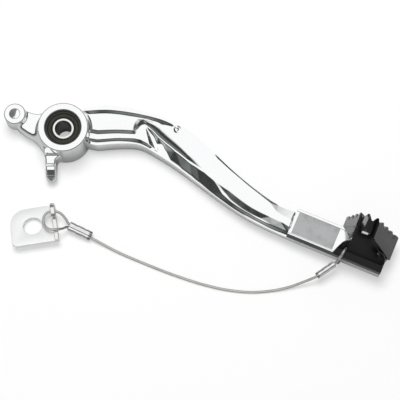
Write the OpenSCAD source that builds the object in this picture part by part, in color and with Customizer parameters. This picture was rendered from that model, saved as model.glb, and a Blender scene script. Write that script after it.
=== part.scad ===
// Rear brake pedal: a forged aluminium lever on a needle bearing pivot, with a
// toothed steel step and a wire safety cable that ends in a frame anchor tab.
// It lies on its inboard side. The origin is on the pivot axis at the inboard
// face of the boss, +Z is outboard along the pivot, +X runs forward to the step.

/* [Pivot boss] */
// Outer diameter of the pivot boss
boss_od = 31; // [29:0.5:34]
// Length of the boss along the pivot axis
boss_len = 26; // [24:0.5:30]
// Depth of the boss face in front of the outboard seal
seal_recess = 3; // [2:0.25:4]
// Depth of the chamfer at each mouth of the boss
boss_chamfer = 0.6; // [0.2:0.1:1]

/* [Bearing] */
// Outer diameter of the drawn bearing cup
bearing_od = 19; // [18:0.5:20]
// Length of the bearing cup
bearing_len = 11; // [9:0.5:12]
// Wall of the bearing cup
cup_wall = 1; // [0.8:0.1:1.2]
// Diameter of one needle
needle_d = 1.9; // [1.6:0.05:2]
// Number of needles
needle_count = 14; // [10:1:16]
// Outer diameter of the pivot sleeve
sleeve_od = 13; // [12.5:0.1:13.5]
// Bore of the pivot sleeve for an M10 pivot bolt
sleeve_bore = 10.2; // [10:0.1:11]

/* [Seals] */
// Outer diameter of a dust seal
seal_od = 22; // [21:0.5:24]
// Thickness of a dust seal
seal_t = 3.5; // [3:0.25:4]

/* [Pushrod lug] */
// Distance of the pushrod eye behind the pivot
lug_x = 30.6; // [28:0.1:34]
// Height of the pushrod eye above the pivot
lug_y = 11.1; // [9:0.1:13]
// Outer diameter of the pushrod eye
lug_od = 13.4; // [12:0.1:15]
// Hole for the pushrod clevis pin
lug_hole = 6.2; // [6:0.1:8]
// Level of the lug's inboard face
lug_z0 = 5; // [4:0.5:7]
// Level of the web's outboard face
lug_web_z = 13; // [12:0.5:14]
// Level of the eye's outboard face
lug_eye_z = 18; // [16:0.5:20]

/* [Spring finger] */
// Distance of the finger tip below the pivot
finger_reach = 32.6; // [30:0.2:36]
// Width of the finger
finger_w = 6.6; // [6:0.2:8]
// Level of the finger's inboard face
finger_z0 = 4; // [3:0.5:6]
// Level of the finger's outboard face beside the boss
finger_z1 = 16; // [14:0.5:17]
// Distance of the finger's centre line behind the pivot
finger_x = -8; // [-10:0.5:-6]
// Depth of the step down to the hooked end
finger_step = 2.6; // [1:0.2:4]

/* [Lever arm] */
// Distance from the pivot to the shoulder of the tongue, along X
arm_reach = 140; // [130:1:150]
// Level of the arm's outboard face
arm_top = 17; // [16:0.25:18]
// Level of the arm's inboard face beside the boss
arm_bottom = 2; // [1.5:0.25:3]
// Depth of the forged pocket beside the boss
pocket_depth = 2.2; // [1:0.1:3]
// Depth of the trough along the inboard face
trough_depth = 2.6; // [1:0.2:4]

/* [Tongue] */
// Angle of the tongue below the X axis
tongue_angle = 23; // [20:0.5:26]
// Width of the tongue
tongue_w = 19; // [18:0.25:21]
// Thickness of the tongue
tongue_t = 9; // [8:0.25:10]
// Level of the tongue's outboard face
tongue_top = 15; // [14.5:0.25:15.5]
// Length of the tongue under the step
tongue_under = 23; // [21:0.5:25]
// Width of the bevel along the tongue's edges
tongue_bevel = 2.2; // [1:0.1:3]
// Depth of the blasted panel in the tongue's face
panel_depth = 0.2; // [0.1:0.05:0.4]
// Border of the tongue's face round the panel
panel_edge = 3.3; // [2.6:0.1:4]

/* [Toothed step] */
// Outboard reach of the step
step_reach = 25; // [22:0.5:30]
// Length of the step where it leaves the tongue
step_root = 33.6; // [31:0.2:37]
// Height of the tooth tips above the tongue's lower edge
step_top = 25.8; // [24:0.2:28]
// Radius of the step's outboard end
step_nose_r = 7.5; // [6.5:0.25:9]
// Thickness of the toothed wall
step_wall = 4.4; // [3.5:0.1:5]
// Depth of the pocket inside the toothed wall
step_pocket = 7; // [4:0.25:9]
// Depth of a tooth
tooth_depth = 3.2; // [2:0.1:4]
// Pitch of the teeth along the rim
tooth_pitch = 6.5; // [6:0.1:7.5]
// Thickness of the step's foot on the tongue
foot_t = 5; // [4:0.25:6]
// Height of the foot's lower edge
foot_h = 5.4; // [4.5:0.2:7]

/* [Step screws] */
// Thread diameter of the two step screws
screw_d = 6; // [5:0.5:6]
// Distance between the two step screws
screw_pitch = 14; // [12:0.5:15]
// Depth of a screw's thread in the step
screw_in_step = 8; // [6:0.5:10]

/* [Safety cable] */
// Diameter of the wire cable
cable_d = 1.6; // [1.2:0.1:1.8]
// Wall of a crimp sleeve round the cable
ferrule_wall = 0.8; // [0.6:0.1:1]
// Hole for the cable through the foot and the tongue
cable_hole = 3.4; // [2.8:0.1:4]

/* [Anchor tab] */
// Length of the tab's plate
tab_len = 28.5; // [26:0.5:32]
// Width of the tab's plate
tab_w = 25; // [23:0.5:28]
// Thickness of the tab's steel sheet
tab_t = 2.6; // [2:0.1:3]
// Hole for the frame bolt
tab_hole = 11.5; // [10.2:0.1:12.5]
// Radius of the ear round its cable hole
ear_r = 5; // [4.5:0.1:5.5]
// Hole in the ear for the cable
ear_hole = 3.6; // [3:0.1:4.4]

/* [Hidden] */

// Small clearances and overlaps shared by every fit
run_fit = 0.04;
eps = 0.01;

// Seal and bearing places along the pivot axis, outboard seal first
seal_out_z = boss_len - seal_recess - seal_t;
seal_in_z = 0.8;
cup_z = (seal_out_z + seal_in_z + seal_t) / 2 - bearing_len / 2;
cup_bore = bearing_od - 2 * cup_wall;
needle_track = sleeve_od / 2 + needle_d / 2 + run_fit;
needle_len = bearing_len - 3;
sleeve_z0 = 0;
sleeve_z1 = boss_len - seal_recess - 0.5;

// Arm reach and pocket depth for which the tables below were drawn
drawn_reach = 140;
drawn_pocket = 2.2;

// Tongue frame: U runs along the tongue to its end, V across it and up. Its
// origin keeps its place beside the arm's shoulder, which moves with the reach.
tongue_bottom = tongue_top - tongue_t;
shoulder_x = 0.978 * arm_reach;
shoulder_y = -66.36 * arm_reach / drawn_reach;
foot_x = shoulder_x + 33.18;
foot_y = shoulder_y - 14.04;
shoulder_u = -36;

// Arm edges from the boss to the shoulder: share of the reach along X, then Y
arm_low = [
    [0.040, -8.0], [0.143, -8.2], [0.243, -7.2], [0.332, -8.0], [0.414, -14.0],
    [0.500, -22.0], [0.593, -32.2], [0.693, -43.2], [0.793, -53.0], [0.890, -60.4],
    [0.990, -66.8]
];
arm_high = [
    [0.020, 14.0], [0.157, 16.8], [0.257, 15.8], [0.364, 12.4], [0.457, 7.8],
    [0.550, 0.6], [0.639, -10.8], [0.736, -24.4], [0.839, -37.0], [0.936, -46.4],
    [1.030, -51.2]
];
arm_stations = 100;

// Creases of the outboard face, station by station: first the station's place
// along the edges, then for each crease its share of the width from the lower
// edge and its drop below the face. The creases are the rim, the ledge, the
// lower flank's top, the rib or ridge, the floor's low side, its middle, its
// high side, the upper rim and the upper edge.
arm_creases = [
    [0.0, [0, 2.4], [0.066, 1.7], [0.128, 0], [0.25, 0], [0.37, 2.2], [0.6, 2.2], [0.815, 2.2], [0.88, 0], [1, 0.3]],
    [2.0, [0, 2.4], [0.066, 1.7], [0.128, 0], [0.25, 0], [0.37, 2.2], [0.6, 2.2], [0.815, 2.2], [0.88, 0], [1, 0.3]],
    [2.4, [0, 2.4], [0.058, 1.75], [0.125, 0], [0.25, 0], [0.4, 2.2], [0.6, 2.1], [0.8, 2], [0.87, 0], [1, 0.3]],
    [2.8, [0, 2.6], [0.052, 2], [0.14, 1.4], [0.27, 1.4], [0.42, 0.6], [0.6, 1.4], [0.77, 1.7], [0.88, 0], [1, 0.3]],
    [3.05, [0, 2.9], [0.05, 2.2], [0.14, 0.8], [0.35, 0.6], [0.58, 0.2], [0.66, 0.8], [0.79, 1.3], [0.9, 0], [1, 0.3]],
    [3.4, [0, 3.3], [0.047, 2.7], [0.1, 2], [0.28, 1.7], [0.5, 0.1], [0.68, 1], [0.83, 1], [0.915, 0], [1, 0.3]],
    [3.8, [0, 3.8], [0.048, 3.2], [0.085, 3.2], [0.28, 2.8], [0.41, 0], [0.56, 0.8], [0.865, 0.9], [0.93, 0], [1, 0.4]],
    [4.05, [0, 4.1], [0.05, 3.6], [0.08, 3.5], [0.3, 2.6], [0.375, 0], [0.5, 0.8], [0.85, 1], [0.92, 0.2], [1, 0.8]],
    [4.35, [0, 4.5], [0.052, 3.9], [0.19, 3.4], [0.3, 0.7], [0.345, 0], [0.46, 0.8], [0.8, 1.1], [0.88, 1], [1, 1.3]],
    [4.7, [0, 4.9], [0.055, 4.3], [0.18, 2.3], [0.295, 0], [0.325, 0], [0.43, 0.9], [0.7, 1.05], [0.86, 1], [1, 1.9]],
    [5.4, [0, 5.3], [0.06, 4.7], [0.16, 2.5], [0.265, 0.1], [0.295, 0.1], [0.4, 0.8], [0.6, 0.9], [0.72, 0.85], [1, 2.15]],
    [6.1, [0, 5.3], [0.05, 4.7], [0.19, 2.4], [0.335, 0.2], [0.365, 0.2], [0.42, 0.5], [0.6, 0.5], [0.82, 0.6], [1, 1.7]],
    [6.6, [0, 5.1], [0.038, 4.7], [0.16, 2.8], [0.29, 0.9], [0.32, 0.5], [0.36, 0.25], [0.65, 0.25], [0.94, 0.4], [1, 1]],
    [6.95, [0, 4.9], [0.036, 4.55], [0.1, 3.5], [0.165, 2.5], [0.25, 1.8], [0.37, 0.15], [0.65, 0.2], [0.95, 0.3], [1, 0.9]],
    [7.3, [0, 4.8], [0.045, 4.2], [0.09, 3.5], [0.14, 2.7], [0.172, 2.5], [0.385, 0.1], [0.65, 0.2], [0.955, 0.3], [1, 0.9]],
    [8.2, [0, 4.7], [0.075, 4], [0.11, 3.3], [0.14, 2.5], [0.168, 2.3], [0.375, 0.1], [0.65, 0.2], [0.94, 0.3], [1, 1]],
    [8.9, [0, 4.9], [0.075, 4.2], [0.11, 3.4], [0.155, 2.6], [0.175, 2.4], [0.42, 0.2], [0.6, 0.25], [0.78, 0.3], [1, 1.6]],
    [9.5, [0, 5], [0.07, 4.4], [0.11, 3.8], [0.17, 2.8], [0.19, 2.7], [0.34, 0.5], [0.5, 0.55], [0.6, 0.6], [1, 2.4]],
    [9.62, [0, 5], [0.07, 4.4], [0.11, 4], [0.17, 3.2], [0.19, 3], [0.34, 2.4], [0.5, 2.4], [0.6, 2.5], [1, 2.8]],
    [10.0, [0, 5], [0.07, 4.5], [0.11, 4.1], [0.17, 3.4], [0.19, 3.2], [0.34, 2.6], [0.5, 2.6], [0.6, 2.7], [1, 2.9]]
];

// Left end of the step's root and centre of its nose, along and off the tongue
step_left = -8.2;
nose_u = 5;
nose_w = step_reach - step_nose_r;

// Needle cage, screws and the cable's hole in the foot
cage_t = 1.1;
screw_head_d = 10;
screw_head_h = tongue_bottom;
screw_v = tongue_w / 2 + 2.1;
screw_u0 = 2.4;
cable_hole_u = -1.4;
cable_hole_v = 5.5;

// Cable route from the cut end in the step sleeve, round the step's eye, along
// the ground and round the tab's eye to the cut end in the tab sleeve
cable_route = [
    [155.4, -88.1, 10.2], [164.8, -81.9, 11.8], [166.2, -80.7, 13.2], [166.9, -80.2, 16.6],
    [167.0, -80.1, 20.0], [167.8, -79.4, 22.8], [169.1, -77.4, 24.0], [170.5, -75.4, 22.9],
    [171.0, -74.8, 20.2], [171.0, -74.8, 5.6], [170.4, -75.5, 2.8], [169.1, -77.5, 1.9],
    [167.7, -79.5, 3.0], [166.9, -80.3, 6.0], [166.2, -80.8, 8.6], [164.8, -81.9, 10.0],
    [154.0, -89.0, 7.6], [146.0, -91.9, 4.6], [138.0, -94.4, 2.4], [128.0, -96.4, 1.1],
    [115.0, -97.4, 0.9], [100.0, -96.0, 0.9], [85.0, -92.5, 0.9], [68.0, -86.9, 0.9],
    [50.0, -79.8, 0.9], [33.0, -72.4, 1.2], [16.5, -63.9, 3.2], [2.9, -57.8, 5.6],
    [-0.6, -59.6, 8.8], [-4.2, -60.5, 10.7], [-8.2, -60.4, 11.0], [-11.3, -57.6, 10.4],
    [-12.0, -53.6, 10.0], [-10.2, -50.2, 9.6], [-6.3, -48.8, 9.4], [-2.2, -49.6, 8.8],
    [1.2, -52.8, 7.4], [3.7, -56.2, 5.6], [16.3, -61.7, 3.6]
];
cable_rings = 2;

// Anchor tab: its own frame has the ear hole at the origin
tab_turn = 9;
tab_tilt = 14;
tab_drop = 5.2;
tab_far = 7.5;
tab_pivot = [-6.3, -48.8, (tab_drop + tab_t) * cos(tab_tilt) + tab_far * sin(tab_tilt) + eps];
ear_foot = tab_w - tab_far;

// Smooth step from 0 to 1 as x goes from a to b
function ramp(x, a, b) =
    let (t = max(0, min(1, (x - a) / (b - a)))) t * t * (3 - 2 * t);
function mix(a, b, t) = a + (b - a) * t;
function unit(v) = v / norm(v);

// Point on a smooth curve through evenly numbered control points
function smooth_at(p, x) =
    let (
        n = len(p) - 1,
        i = min(n - 1, floor(x)),
        t = x - i,
        a = p[max(0, i - 1)],
        b = p[i],
        c = p[i + 1],
        d = p[min(n, i + 2)]
    )
    b + (c - a) * t / 2 + (2 * a - 5 * b + 4 * c - d) * t * t / 2
        + (3 * b - a - 3 * c + d) * t * t * t / 2;

// Point on a curve whose knots are spaced by the root of each chord, so that
// short and long spans meet without a bulge
function knot_at(a, b, c, d, t) =
    let (
        k1 = sqrt(norm(b - a)),
        k2 = k1 + sqrt(norm(c - b)),
        k3 = k2 + sqrt(norm(d - c)),
        k = mix(k1, k2, t),
        a1 = a * (k1 - k) / k1 + b * k / k1,
        a2 = b * (k2 - k) / (k2 - k1) + c * (k - k1) / (k2 - k1),
        a3 = c * (k3 - k) / (k3 - k2) + d * (k - k2) / (k3 - k2),
        b1 = a1 * (k2 - k) / k2 + a2 * k / k2,
        b2 = a2 * (k3 - k) / (k3 - k1) + a3 * (k - k1) / (k3 - k1)
    )
    b1 * (k2 - k) / (k2 - k1) + b2 * (k - k1) / (k2 - k1);

function route_points(p, rings) =
    let (n = len(p) - 1)
    concat(
        [
            for (i = [0:n - 1])
            for (j = [0:rings - 1])
            knot_at(
                i == 0 ? 2 * p[0] - p[1] : p[i - 1],
                p[i],
                p[i + 1],
                i == n - 1 ? 2 * p[n] - p[n - 1] : p[i + 2],
                j / rings
            )
        ],
        [p[n]]
    );

// Faces of a grid of points: rows of m points closed into a tube, with end caps
function tube_faces(rows, m) = concat(
    [[for (j = [m - 1:-1:0]) j]],
    [
        for (i = [0:rows - 2])
        for (j = [0:m - 1])
        for (half = [0, 1])
        let (a = i * m + j, b = i * m + (j + 1) % m)
        half == 0 ? [a, b, b + m] : [a, b + m, a + m]
    ],
    [[for (j = [0:m - 1]) (rows - 1) * m + j]]
);

// Round tube along a list of points, its rings carried on without a twist
module sweep_tube(p, d, sides) {
    n = len(p);
    tangents = [for (i = [0:n - 1]) unit(p[min(n - 1, i + 1)] - p[max(0, i - 1)])];
    first = unit(cross(tangents[0], [0, 0, 1]));
    sideways = [
        for (
            i = 0, s = first;
            i < n;
            i = i + 1, s = i < n ? unit(s - (s * tangents[i]) * tangents[i]) : s
        ) s
    ];
    rings = [
        for (i = [0:n - 1])
        for (j = [0:sides - 1])
        let (up = cross(sideways[i], tangents[i]), a = 360 * j / sides)
        p[i] + d / 2 * (cos(a) * sideways[i] + sin(a) * up)
    ];
    polyhedron(points = rings, faces = tube_faces(n, sides), convexity = 12);
}

// Row of the crease table that the station s falls in
function crease_row(s, k = 0) =
    k >= len(arm_creases) - 2 || s < arm_creases[k + 1][0] ? k : crease_row(s, k + 1);

// One section of the arm at control position s: the points run round it from
// the lower rim over the outboard face and back along the inboard face
function arm_section(s) =
    let (
        low = smooth_at(arm_low, s),
        high = smooth_at(arm_high, s),
        k = crease_row(s),
        a = arm_creases[k],
        b = arm_creases[k + 1],
        w = (s - a[0]) / (b[0] - a[0]),
        bottom = mix(arm_bottom, tongue_bottom + 0.4, ramp(s, 4, 9.6)),
        trough = trough_depth * ramp(s, 1.2, 2.4) * (1 - ramp(s, 8, 9.4)),
        rim = arm_top - mix(a[1][1], b[1][1], w),
        at = function(t, z) [
            mix(low[0], high[0], t) * arm_reach,
            mix(low[1], high[1], t) * arm_reach / drawn_reach,
            z
        ],
        pocket = pocket_depth / drawn_pocket
    )
    concat(
        [at(0.00, rim - 0.6)],
        [
            for (i = [1:len(a) - 1])
            let (c = mix(a[i], b[i], w))
            at(max(c[0], 0.015), arm_top - c[1] * (i > 4 && i < 8 ? pocket : 1))
        ],
        [
            at(1.00, bottom + 1.6), at(0.95, bottom), at(0.82, bottom),
            at(0.72, bottom + trough), at(0.28, bottom + trough), at(0.18, bottom),
            at(0.05, bottom), at(0.00, bottom + 1.6)
        ]
    );

// The sculpted body of the arm, from inside the boss to the tongue's shoulder
module arm_body() {
    sections = [for (i = [0:arm_stations]) arm_section((len(arm_low) - 1) * i / arm_stations)];
    m = len(sections[0]);
    points = [for (row = sections) for (p = row) p];
    polyhedron(points = points, faces = tube_faces(arm_stations + 1, m), convexity = 8);
}

// Children are drawn in the tongue's frame, with Z level with the world
module on_tongue() {
    translate([foot_x, foot_y, 0]) rotate([0, 0, -tongue_angle]) children();
}

// Flat bar with bevelled edges that carries the step
module tongue() {
    w = tongue_w;
    b = tongue_bevel;
    section = [
        [0, tongue_bottom + 1], [1, tongue_bottom], [w - 1, tongue_bottom],
        [w, tongue_bottom + 1], [w, tongue_top - b * 0.7], [w - b, tongue_top],
        [b, tongue_top], [0, tongue_top - b * 0.7]
    ];
    on_tongue()
        translate([tongue_under, 0, 0])
            rotate([90, 0, -90])
                linear_extrude(height = tongue_under - shoulder_u)
                    mirror([1, 0])
                        polygon([for (p = section) [p[0], p[1]]]);
}

// Eye and web that carry the pushrod pin. The web's outline is given along and
// beside the line from the pivot to the eye, and runs on to the spring finger.
module pushrod_lug() {
    eye = [-lug_x, lug_y];
    reach = norm(eye);
    boss_r = boss_od / 2;
    eye_r = lug_od / 2;
    translate([eye[0], eye[1], lug_z0]) cylinder(h = lug_eye_z - lug_z0, d = lug_od, $fn = 64);
    translate([0, 0, lug_z0])
        rotate([0, 0, atan2(eye[1], eye[0])])
            linear_extrude(height = lug_web_z - lug_z0)
                polygon([
                    [0, 0], [boss_r * 0.6, -boss_r * 0.56], [boss_r * 0.76, -boss_r * 0.7],
                    [boss_r, -boss_r * 0.5], [reach * 0.66, -eye_r * 0.96], [reach, 0.4 - eye_r],
                    [reach, eye_r - 0.4], [reach - eye_r, eye_r + 1.8], [boss_r + 6, eye_r + 2.8],
                    [boss_r + 1.6, eye_r + 3.2], [boss_r * 0.8, boss_r * 0.82],
                    [boss_r * 0.56, boss_r * 1.02], [boss_r * 0.14, boss_r * 0.78]
                ]);
}

// Hooked finger for the return spring, stepped down towards its round tip: the
// side profile in Y and Z cut to the plan of a round-ended bar
module spring_finger() {
    tip_y = -finger_reach + finger_w / 2;
    step_y = -19.4;
    step_run = 0.9;
    root_y = -boss_od / 2 + 4;
    hook_z = finger_z1 - finger_step;
    nose_z = mix(finger_z0, hook_z, 0.45);
    translate([finger_x, 0, 0])
        intersection() {
            rotate([90, 0, 90])
                linear_extrude(height = finger_w + 2, center = true)
                    polygon([
                        [root_y, finger_z0], [root_y, finger_z1], [step_y, finger_z1],
                        [step_y - step_run, hook_z], [tip_y + 1.6, hook_z],
                        [-finger_reach - 1, nose_z], [-finger_reach - 1, finger_z0]
                    ]);
            linear_extrude(height = finger_z1 + 1)
                union() {
                    translate([0, tip_y]) circle(d = finger_w, $fn = 48);
                    translate([-finger_w / 2, tip_y]) square([finger_w, root_y - tip_y]);
                }
        }
}

module pedal_arm() {
    color("gainsboro") difference() {
        union() {
            cylinder(h = boss_len, d = boss_od, $fn = 96);
            arm_body();
            boss_fillet();
            tongue();
            pushrod_lug();
            spring_finger();
        }
        boss_bores();
        translate([-lug_x, lug_y, lug_z0 - 1])
            cylinder(h = lug_eye_z - lug_z0 + 2, d = lug_hole, $fn = 48);
        on_tongue() {
            translate([shoulder_u + panel_edge, panel_edge, tongue_top - panel_depth])
                cube([step_left - shoulder_u - 2 * panel_edge + 2, tongue_w - 2 * panel_edge, 1]);
            screw_holes(tongue_bottom - 1, tongue_top + 1, screw_d + 0.4);
            translate([cable_hole_u, cable_hole_v, tongue_bottom - 1])
                cylinder(h = tongue_t + 2, d = cable_hole, $fn = 32);
        }
    }
}

// Hollow fillet between the boss and the floor of the arm's pocket
module boss_fillet() {
    radius = 4.2;
    foot = arm_top - pocket_depth - 0.4;
    rotate([0, 0, -22])
        rotate_extrude(angle = 86, $fn = 96)
            polygon(concat(
                [[boss_od / 2 - 1, foot - 2], [boss_od / 2 + radius, foot - 2]],
                [
                    for (a = [0:15:75])
                    [boss_od / 2 + radius - radius * sin(a), foot + radius - radius * cos(a)]
                ],
                [[boss_od / 2 - 1, foot + radius * 0.75]]
            ));
}

// Stepped bore of the boss: bearing seat, two seal seats and chamfered mouths
module boss_bores() {
    translate([0, 0, -1]) cylinder(h = boss_len + 2, d = bearing_od, $fn = 96);
    translate([0, 0, -1]) cylinder(h = seal_in_z + seal_t + 1, d = seal_od, $fn = 96);
    translate([0, 0, seal_out_z])
        cylinder(h = boss_len - seal_out_z + 1, d = seal_od, $fn = 96);
    translate([0, 0, boss_len - boss_chamfer])
        cylinder(
            h = boss_chamfer + eps,
            d1 = seal_od,
            d2 = seal_od + 2 * boss_chamfer + 2 * eps,
            $fn = 96
        );
    translate([0, 0, -eps])
        cylinder(
            h = boss_chamfer + eps,
            d1 = seal_od + 2 * boss_chamfer + 2 * eps,
            d2 = seal_od,
            $fn = 96
        );
}

// Inner race that the pivot bolt clamps, free to turn in the needles
module pivot_sleeve() {
    color("silver")
        translate([0, 0, sleeve_z0])
            difference() {
                rotate_extrude($fn = 96)
                    polygon([
                        [sleeve_bore / 2 - 0.6, 0], [sleeve_od / 2 - 0.3, 0],
                        [sleeve_od / 2, 0.3], [sleeve_od / 2, sleeve_z1 - sleeve_z0 - 0.3],
                        [sleeve_od / 2 - 0.3, sleeve_z1 - sleeve_z0],
                        [sleeve_bore / 2 - 0.6, sleeve_z1 - sleeve_z0]
                    ]);
                translate([0, 0, -1])
                    cylinder(h = sleeve_z1 - sleeve_z0 + 2, d = sleeve_bore, $fn = 96);
            }
}

// Drawn cup with a turned-in lip at each end
module bearing_cup() {
    outer = bearing_od / 2;
    inner = cup_bore / 2;
    lip = sleeve_od / 2 + 0.5;
    color("lightsteelblue")
        translate([0, 0, cup_z])
            rotate_extrude($fn = 96)
                polygon([
                    [lip, 0], [outer - 0.4, 0], [outer, 0.4], [outer, bearing_len - 0.4],
                    [outer - 0.4, bearing_len], [lip, bearing_len], [lip, bearing_len - 0.8],
                    [inner, bearing_len - 0.8], [inner, 0.8], [lip, 0.8]
                ]);
}

// Cage with one window for each needle
module bearing_cage() {
    track = needle_track;
    z0 = cup_z + 0.8 + run_fit * 2;
    height = bearing_len - 1.6 - run_fit * 4;
    color("darkkhaki")
        difference() {
            translate([0, 0, z0]) ring(height, track + cage_t / 2, track - cage_t / 2);
            for (i = [0:needle_count - 1])
                rotate([0, 0, 360 * i / needle_count])
                    translate([
                        track - needle_d, -needle_d / 2 - 0.05,
                        cup_z + (bearing_len - needle_len) / 2 - 0.1
                    ])
                        cube([needle_d * 2, needle_d + 0.1, needle_len + 0.2]);
        }
}

module ring(h, r_out, r_in) {
    difference() {
        cylinder(h = h, r = r_out, $fn = 96);
        translate([0, 0, -1]) cylinder(h = h + 2, r = r_in, $fn = 96);
    }
}

module bearing_needles() {
    color("gray")
        for (i = [0:needle_count - 1])
            rotate([0, 0, 360 * i / needle_count])
                translate([needle_track, 0, cup_z + (bearing_len - needle_len) / 2])
                    cylinder(h = needle_len, d = needle_d, $fn = 24);
}

// Dust seal: a moulded ring whose lip stops just short of the sleeve
module dust_seal() {
    outer = seal_od / 2;
    lip = sleeve_od / 2 + run_fit;
    color("darkslategray")
        rotate_extrude($fn = 96)
            polygon([
                [outer, 0], [outer, seal_t], [outer - 1.2, seal_t], [outer - 1.9, seal_t - 0.7],
                [lip + 1.1, seal_t - 0.7], [lip, seal_t - 0.1], [lip, seal_t - 0.6],
                [lip + 1, seal_t - 2], [lip + 0.5, 0]
            ]);
}

module seal_outboard() {
    translate([0, 0, seal_out_z]) dust_seal();
}

module seal_inboard() {
    translate([0, 0, seal_in_z + seal_t]) mirror([0, 0, 1]) dust_seal();
}

// Step plan in U and W: a straight root, two sides and a round outboard nose,
// drawn inset by a wall thickness
function nose_point(a, inset) = [
    nose_u + (step_nose_r - inset) * cos(a),
    nose_w + (step_nose_r - inset) * sin(a)
];
nose_left = 180 - atan2(nose_u - step_left, nose_w)
    + asin(step_nose_r / norm([nose_u - step_left, nose_w]));
nose_right = atan2(step_left + step_root - nose_u, nose_w)
    - asin(step_nose_r / norm([step_left + step_root - nose_u, nose_w]));

function step_plan(inset, steps) = concat(
    [[step_left + inset * 1.06, inset]],
    [
        for (i = [0:steps])
        nose_point(mix(nose_left, nose_right, i / steps), inset)
    ],
    [[step_left + step_root - inset * 1.3, inset]]
);

// Rim line from the left root round the nose to the right root, by distance
rim_pts = concat(
    [[step_left, 0]],
    [for (i = [0:24]) nose_point(mix(nose_left, nose_right, i / 24), 0)],
    [[step_left + step_root, 0]]
);
function rim_len(k) = k == 0 ? 0 : rim_len(k - 1) + norm(rim_pts[k] - rim_pts[k - 1]);
rim_total = rim_len(len(rim_pts) - 1);
function rim_at(s, k = 1) =
    let (step_in = norm(rim_pts[k] - rim_pts[k - 1]))
    s <= step_in || k == len(rim_pts) - 1
        ? [
            mix(rim_pts[k - 1], rim_pts[k], s / step_in),
            unit(rim_pts[k] - rim_pts[k - 1])
        ]
        : rim_at(s - step_in, k + 1);

// Solid of a plan in U and W that stands from level v0 to v1 across the tongue
module plan_block(plan, v0, v1) {
    rotate([90, 0, 0]) translate([0, 0, -v1]) linear_extrude(height = v1 - v0) polygon(plan);
}

// Wedge notch across the rim for one gap between two teeth
module tooth_gap(s) {
    place = rim_at(s);
    across = atan2(place[1][1], place[1][0]);
    half = tooth_pitch * 0.46;
    translate([place[0][0], step_top, place[0][1]])
        rotate([0, -across, 0])
            translate([0, 0, -step_wall * 1.2])
                linear_extrude(height = step_wall * 2.4)
                    polygon([[-half, 1], [half, 1], [half, 0], [0, -tooth_depth], [-half, 0]]);
}

module step() {
    right = step_left + step_root;
    gaps = floor(rim_total / tooth_pitch);
    first = (rim_total - (gaps - 1) * tooth_pitch) / 2;
    color([0.1, 0.1, 0.1])
        on_tongue()
            translate([0, 0, tongue_top])
                difference() {
                    union() {
                        difference() {
                            plan_block(step_plan(0, 16), 0, step_top);
                            step_underside();
                        }
                        step_gusset();
                        translate([step_left, 0, 0])
                            cube([step_root - 2.4, tongue_w - 1, foot_t]);
                    }
                    plan_block(step_plan(step_wall, 8), step_top - step_pocket, step_top + 1);
                    for (i = [0:gaps - 1]) tooth_gap(first + i * tooth_pitch);
                    translate([0, 0, -tongue_top])
                        screw_holes(tongue_top - 1, tongue_top + screw_in_step, screw_d);
                    translate([cable_hole_u, cable_hole_v, -1])
                        cylinder(h = step_reach, d = cable_hole, $fn = 32);
                }
}

// Everything under the sloping lower edge of the toothed wall
module step_underside() {
    left_v = tongue_w - 1.5;
    fall = 0.25;
    translate([0, 0, -1])
        linear_extrude(height = step_reach + 2)
            polygon([
                [step_left - 1, -1],
                [step_left + step_root + 1, -1],
                [step_left + step_root + 1, left_v - fall * (step_root + 1)],
                [step_left - 1, left_v + fall]
            ]);
}

// Tapered nose under the toothed wall, rising outboard from the foot
module step_gusset() {
    tip = step_reach - 1.2;
    intersection() {
        plan_block(
            [
                [step_left + 0.8, 0], [nose_u - step_nose_r + 1.2, nose_w],
                for (i = [0:10]) nose_point(mix(nose_left, nose_right, i / 10), 1),
                [step_left + step_root - 2.4, 0]
            ],
            0, step_top - step_pocket
        );
        translate([step_left, 0, 0])
            rotate([90, 0, 90])
                linear_extrude(height = step_root)
                    polygon([
                        [0, 0], [0, foot_t], [foot_h, foot_t], [10.5, tip - 6],
                        [12.6, tip - 2], [14.6, tip], [step_top - step_pocket, tip],
                        [step_top - step_pocket, 0]
                    ]);
    }
}

// Two holes along the tongue between two levels
module screw_holes(z0, z1, d) {
    for (i = [0, 1])
        translate([screw_u0 + i * screw_pitch, screw_v, z0])
            cylinder(h = z1 - z0, d = d, $fn = 48);
}

// Socket-head screws that hold the step from the inboard side
module step_screws() {
    color("dimgray")
        on_tongue()
            for (i = [0, 1])
                translate([screw_u0 + i * screw_pitch, screw_v, 0])
                    difference() {
                        union() {
                            cylinder(h = screw_head_h, d = screw_head_d, $fn = 48);
                            cylinder(
                                h = tongue_top + screw_in_step - 1,
                                d = screw_d - 2 * run_fit,
                                $fn = 48
                            );
                        }
                        translate([0, 0, -eps]) cylinder(h = 3, d = 5.8, $fn = 6);
                    }
}

module cable() {
    color("darkgray") sweep_tube(route_points(cable_route, cable_rings), cable_d, 8);
}

// Crimp sleeve with two bores side by side between two ends of the route
module crimp_sleeve(a0, a1, b0, b1) {
    mouth = (a0 + b0) / 2;
    axis = unit((a1 + b1) / 2 - mouth);
    length = norm((a1 + b1) / 2 - mouth);
    apart = unit((a0 - b0) - ((a0 - b0) * axis) * axis);
    third = cross(axis, apart);
    gap = norm(a0 - b0) / 2;
    r = cable_d / 2 + ferrule_wall;
    multmatrix([
        [apart[0], third[0], axis[0], mouth[0]],
        [apart[1], third[1], axis[1], mouth[1]],
        [apart[2], third[2], axis[2], mouth[2]]
    ])
        difference() {
            union() {
                for (x = [-gap, gap]) translate([x, 0, 0]) cylinder(h = length, r = r, $fn = 40);
                translate([-gap, -r * 0.9, 0]) cube([2 * gap, r * 1.8, length]);
            }
            for (x = [-gap, gap])
                translate([x, 0, -1]) cylinder(h = length + 2, d = cable_d, $fn = 32);
        }
}

module ferrule_step() {
    p = cable_route;
    color("silver") crimp_sleeve(p[1], p[16] + (p[1] - p[15]), p[15], p[16]);
}

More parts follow.
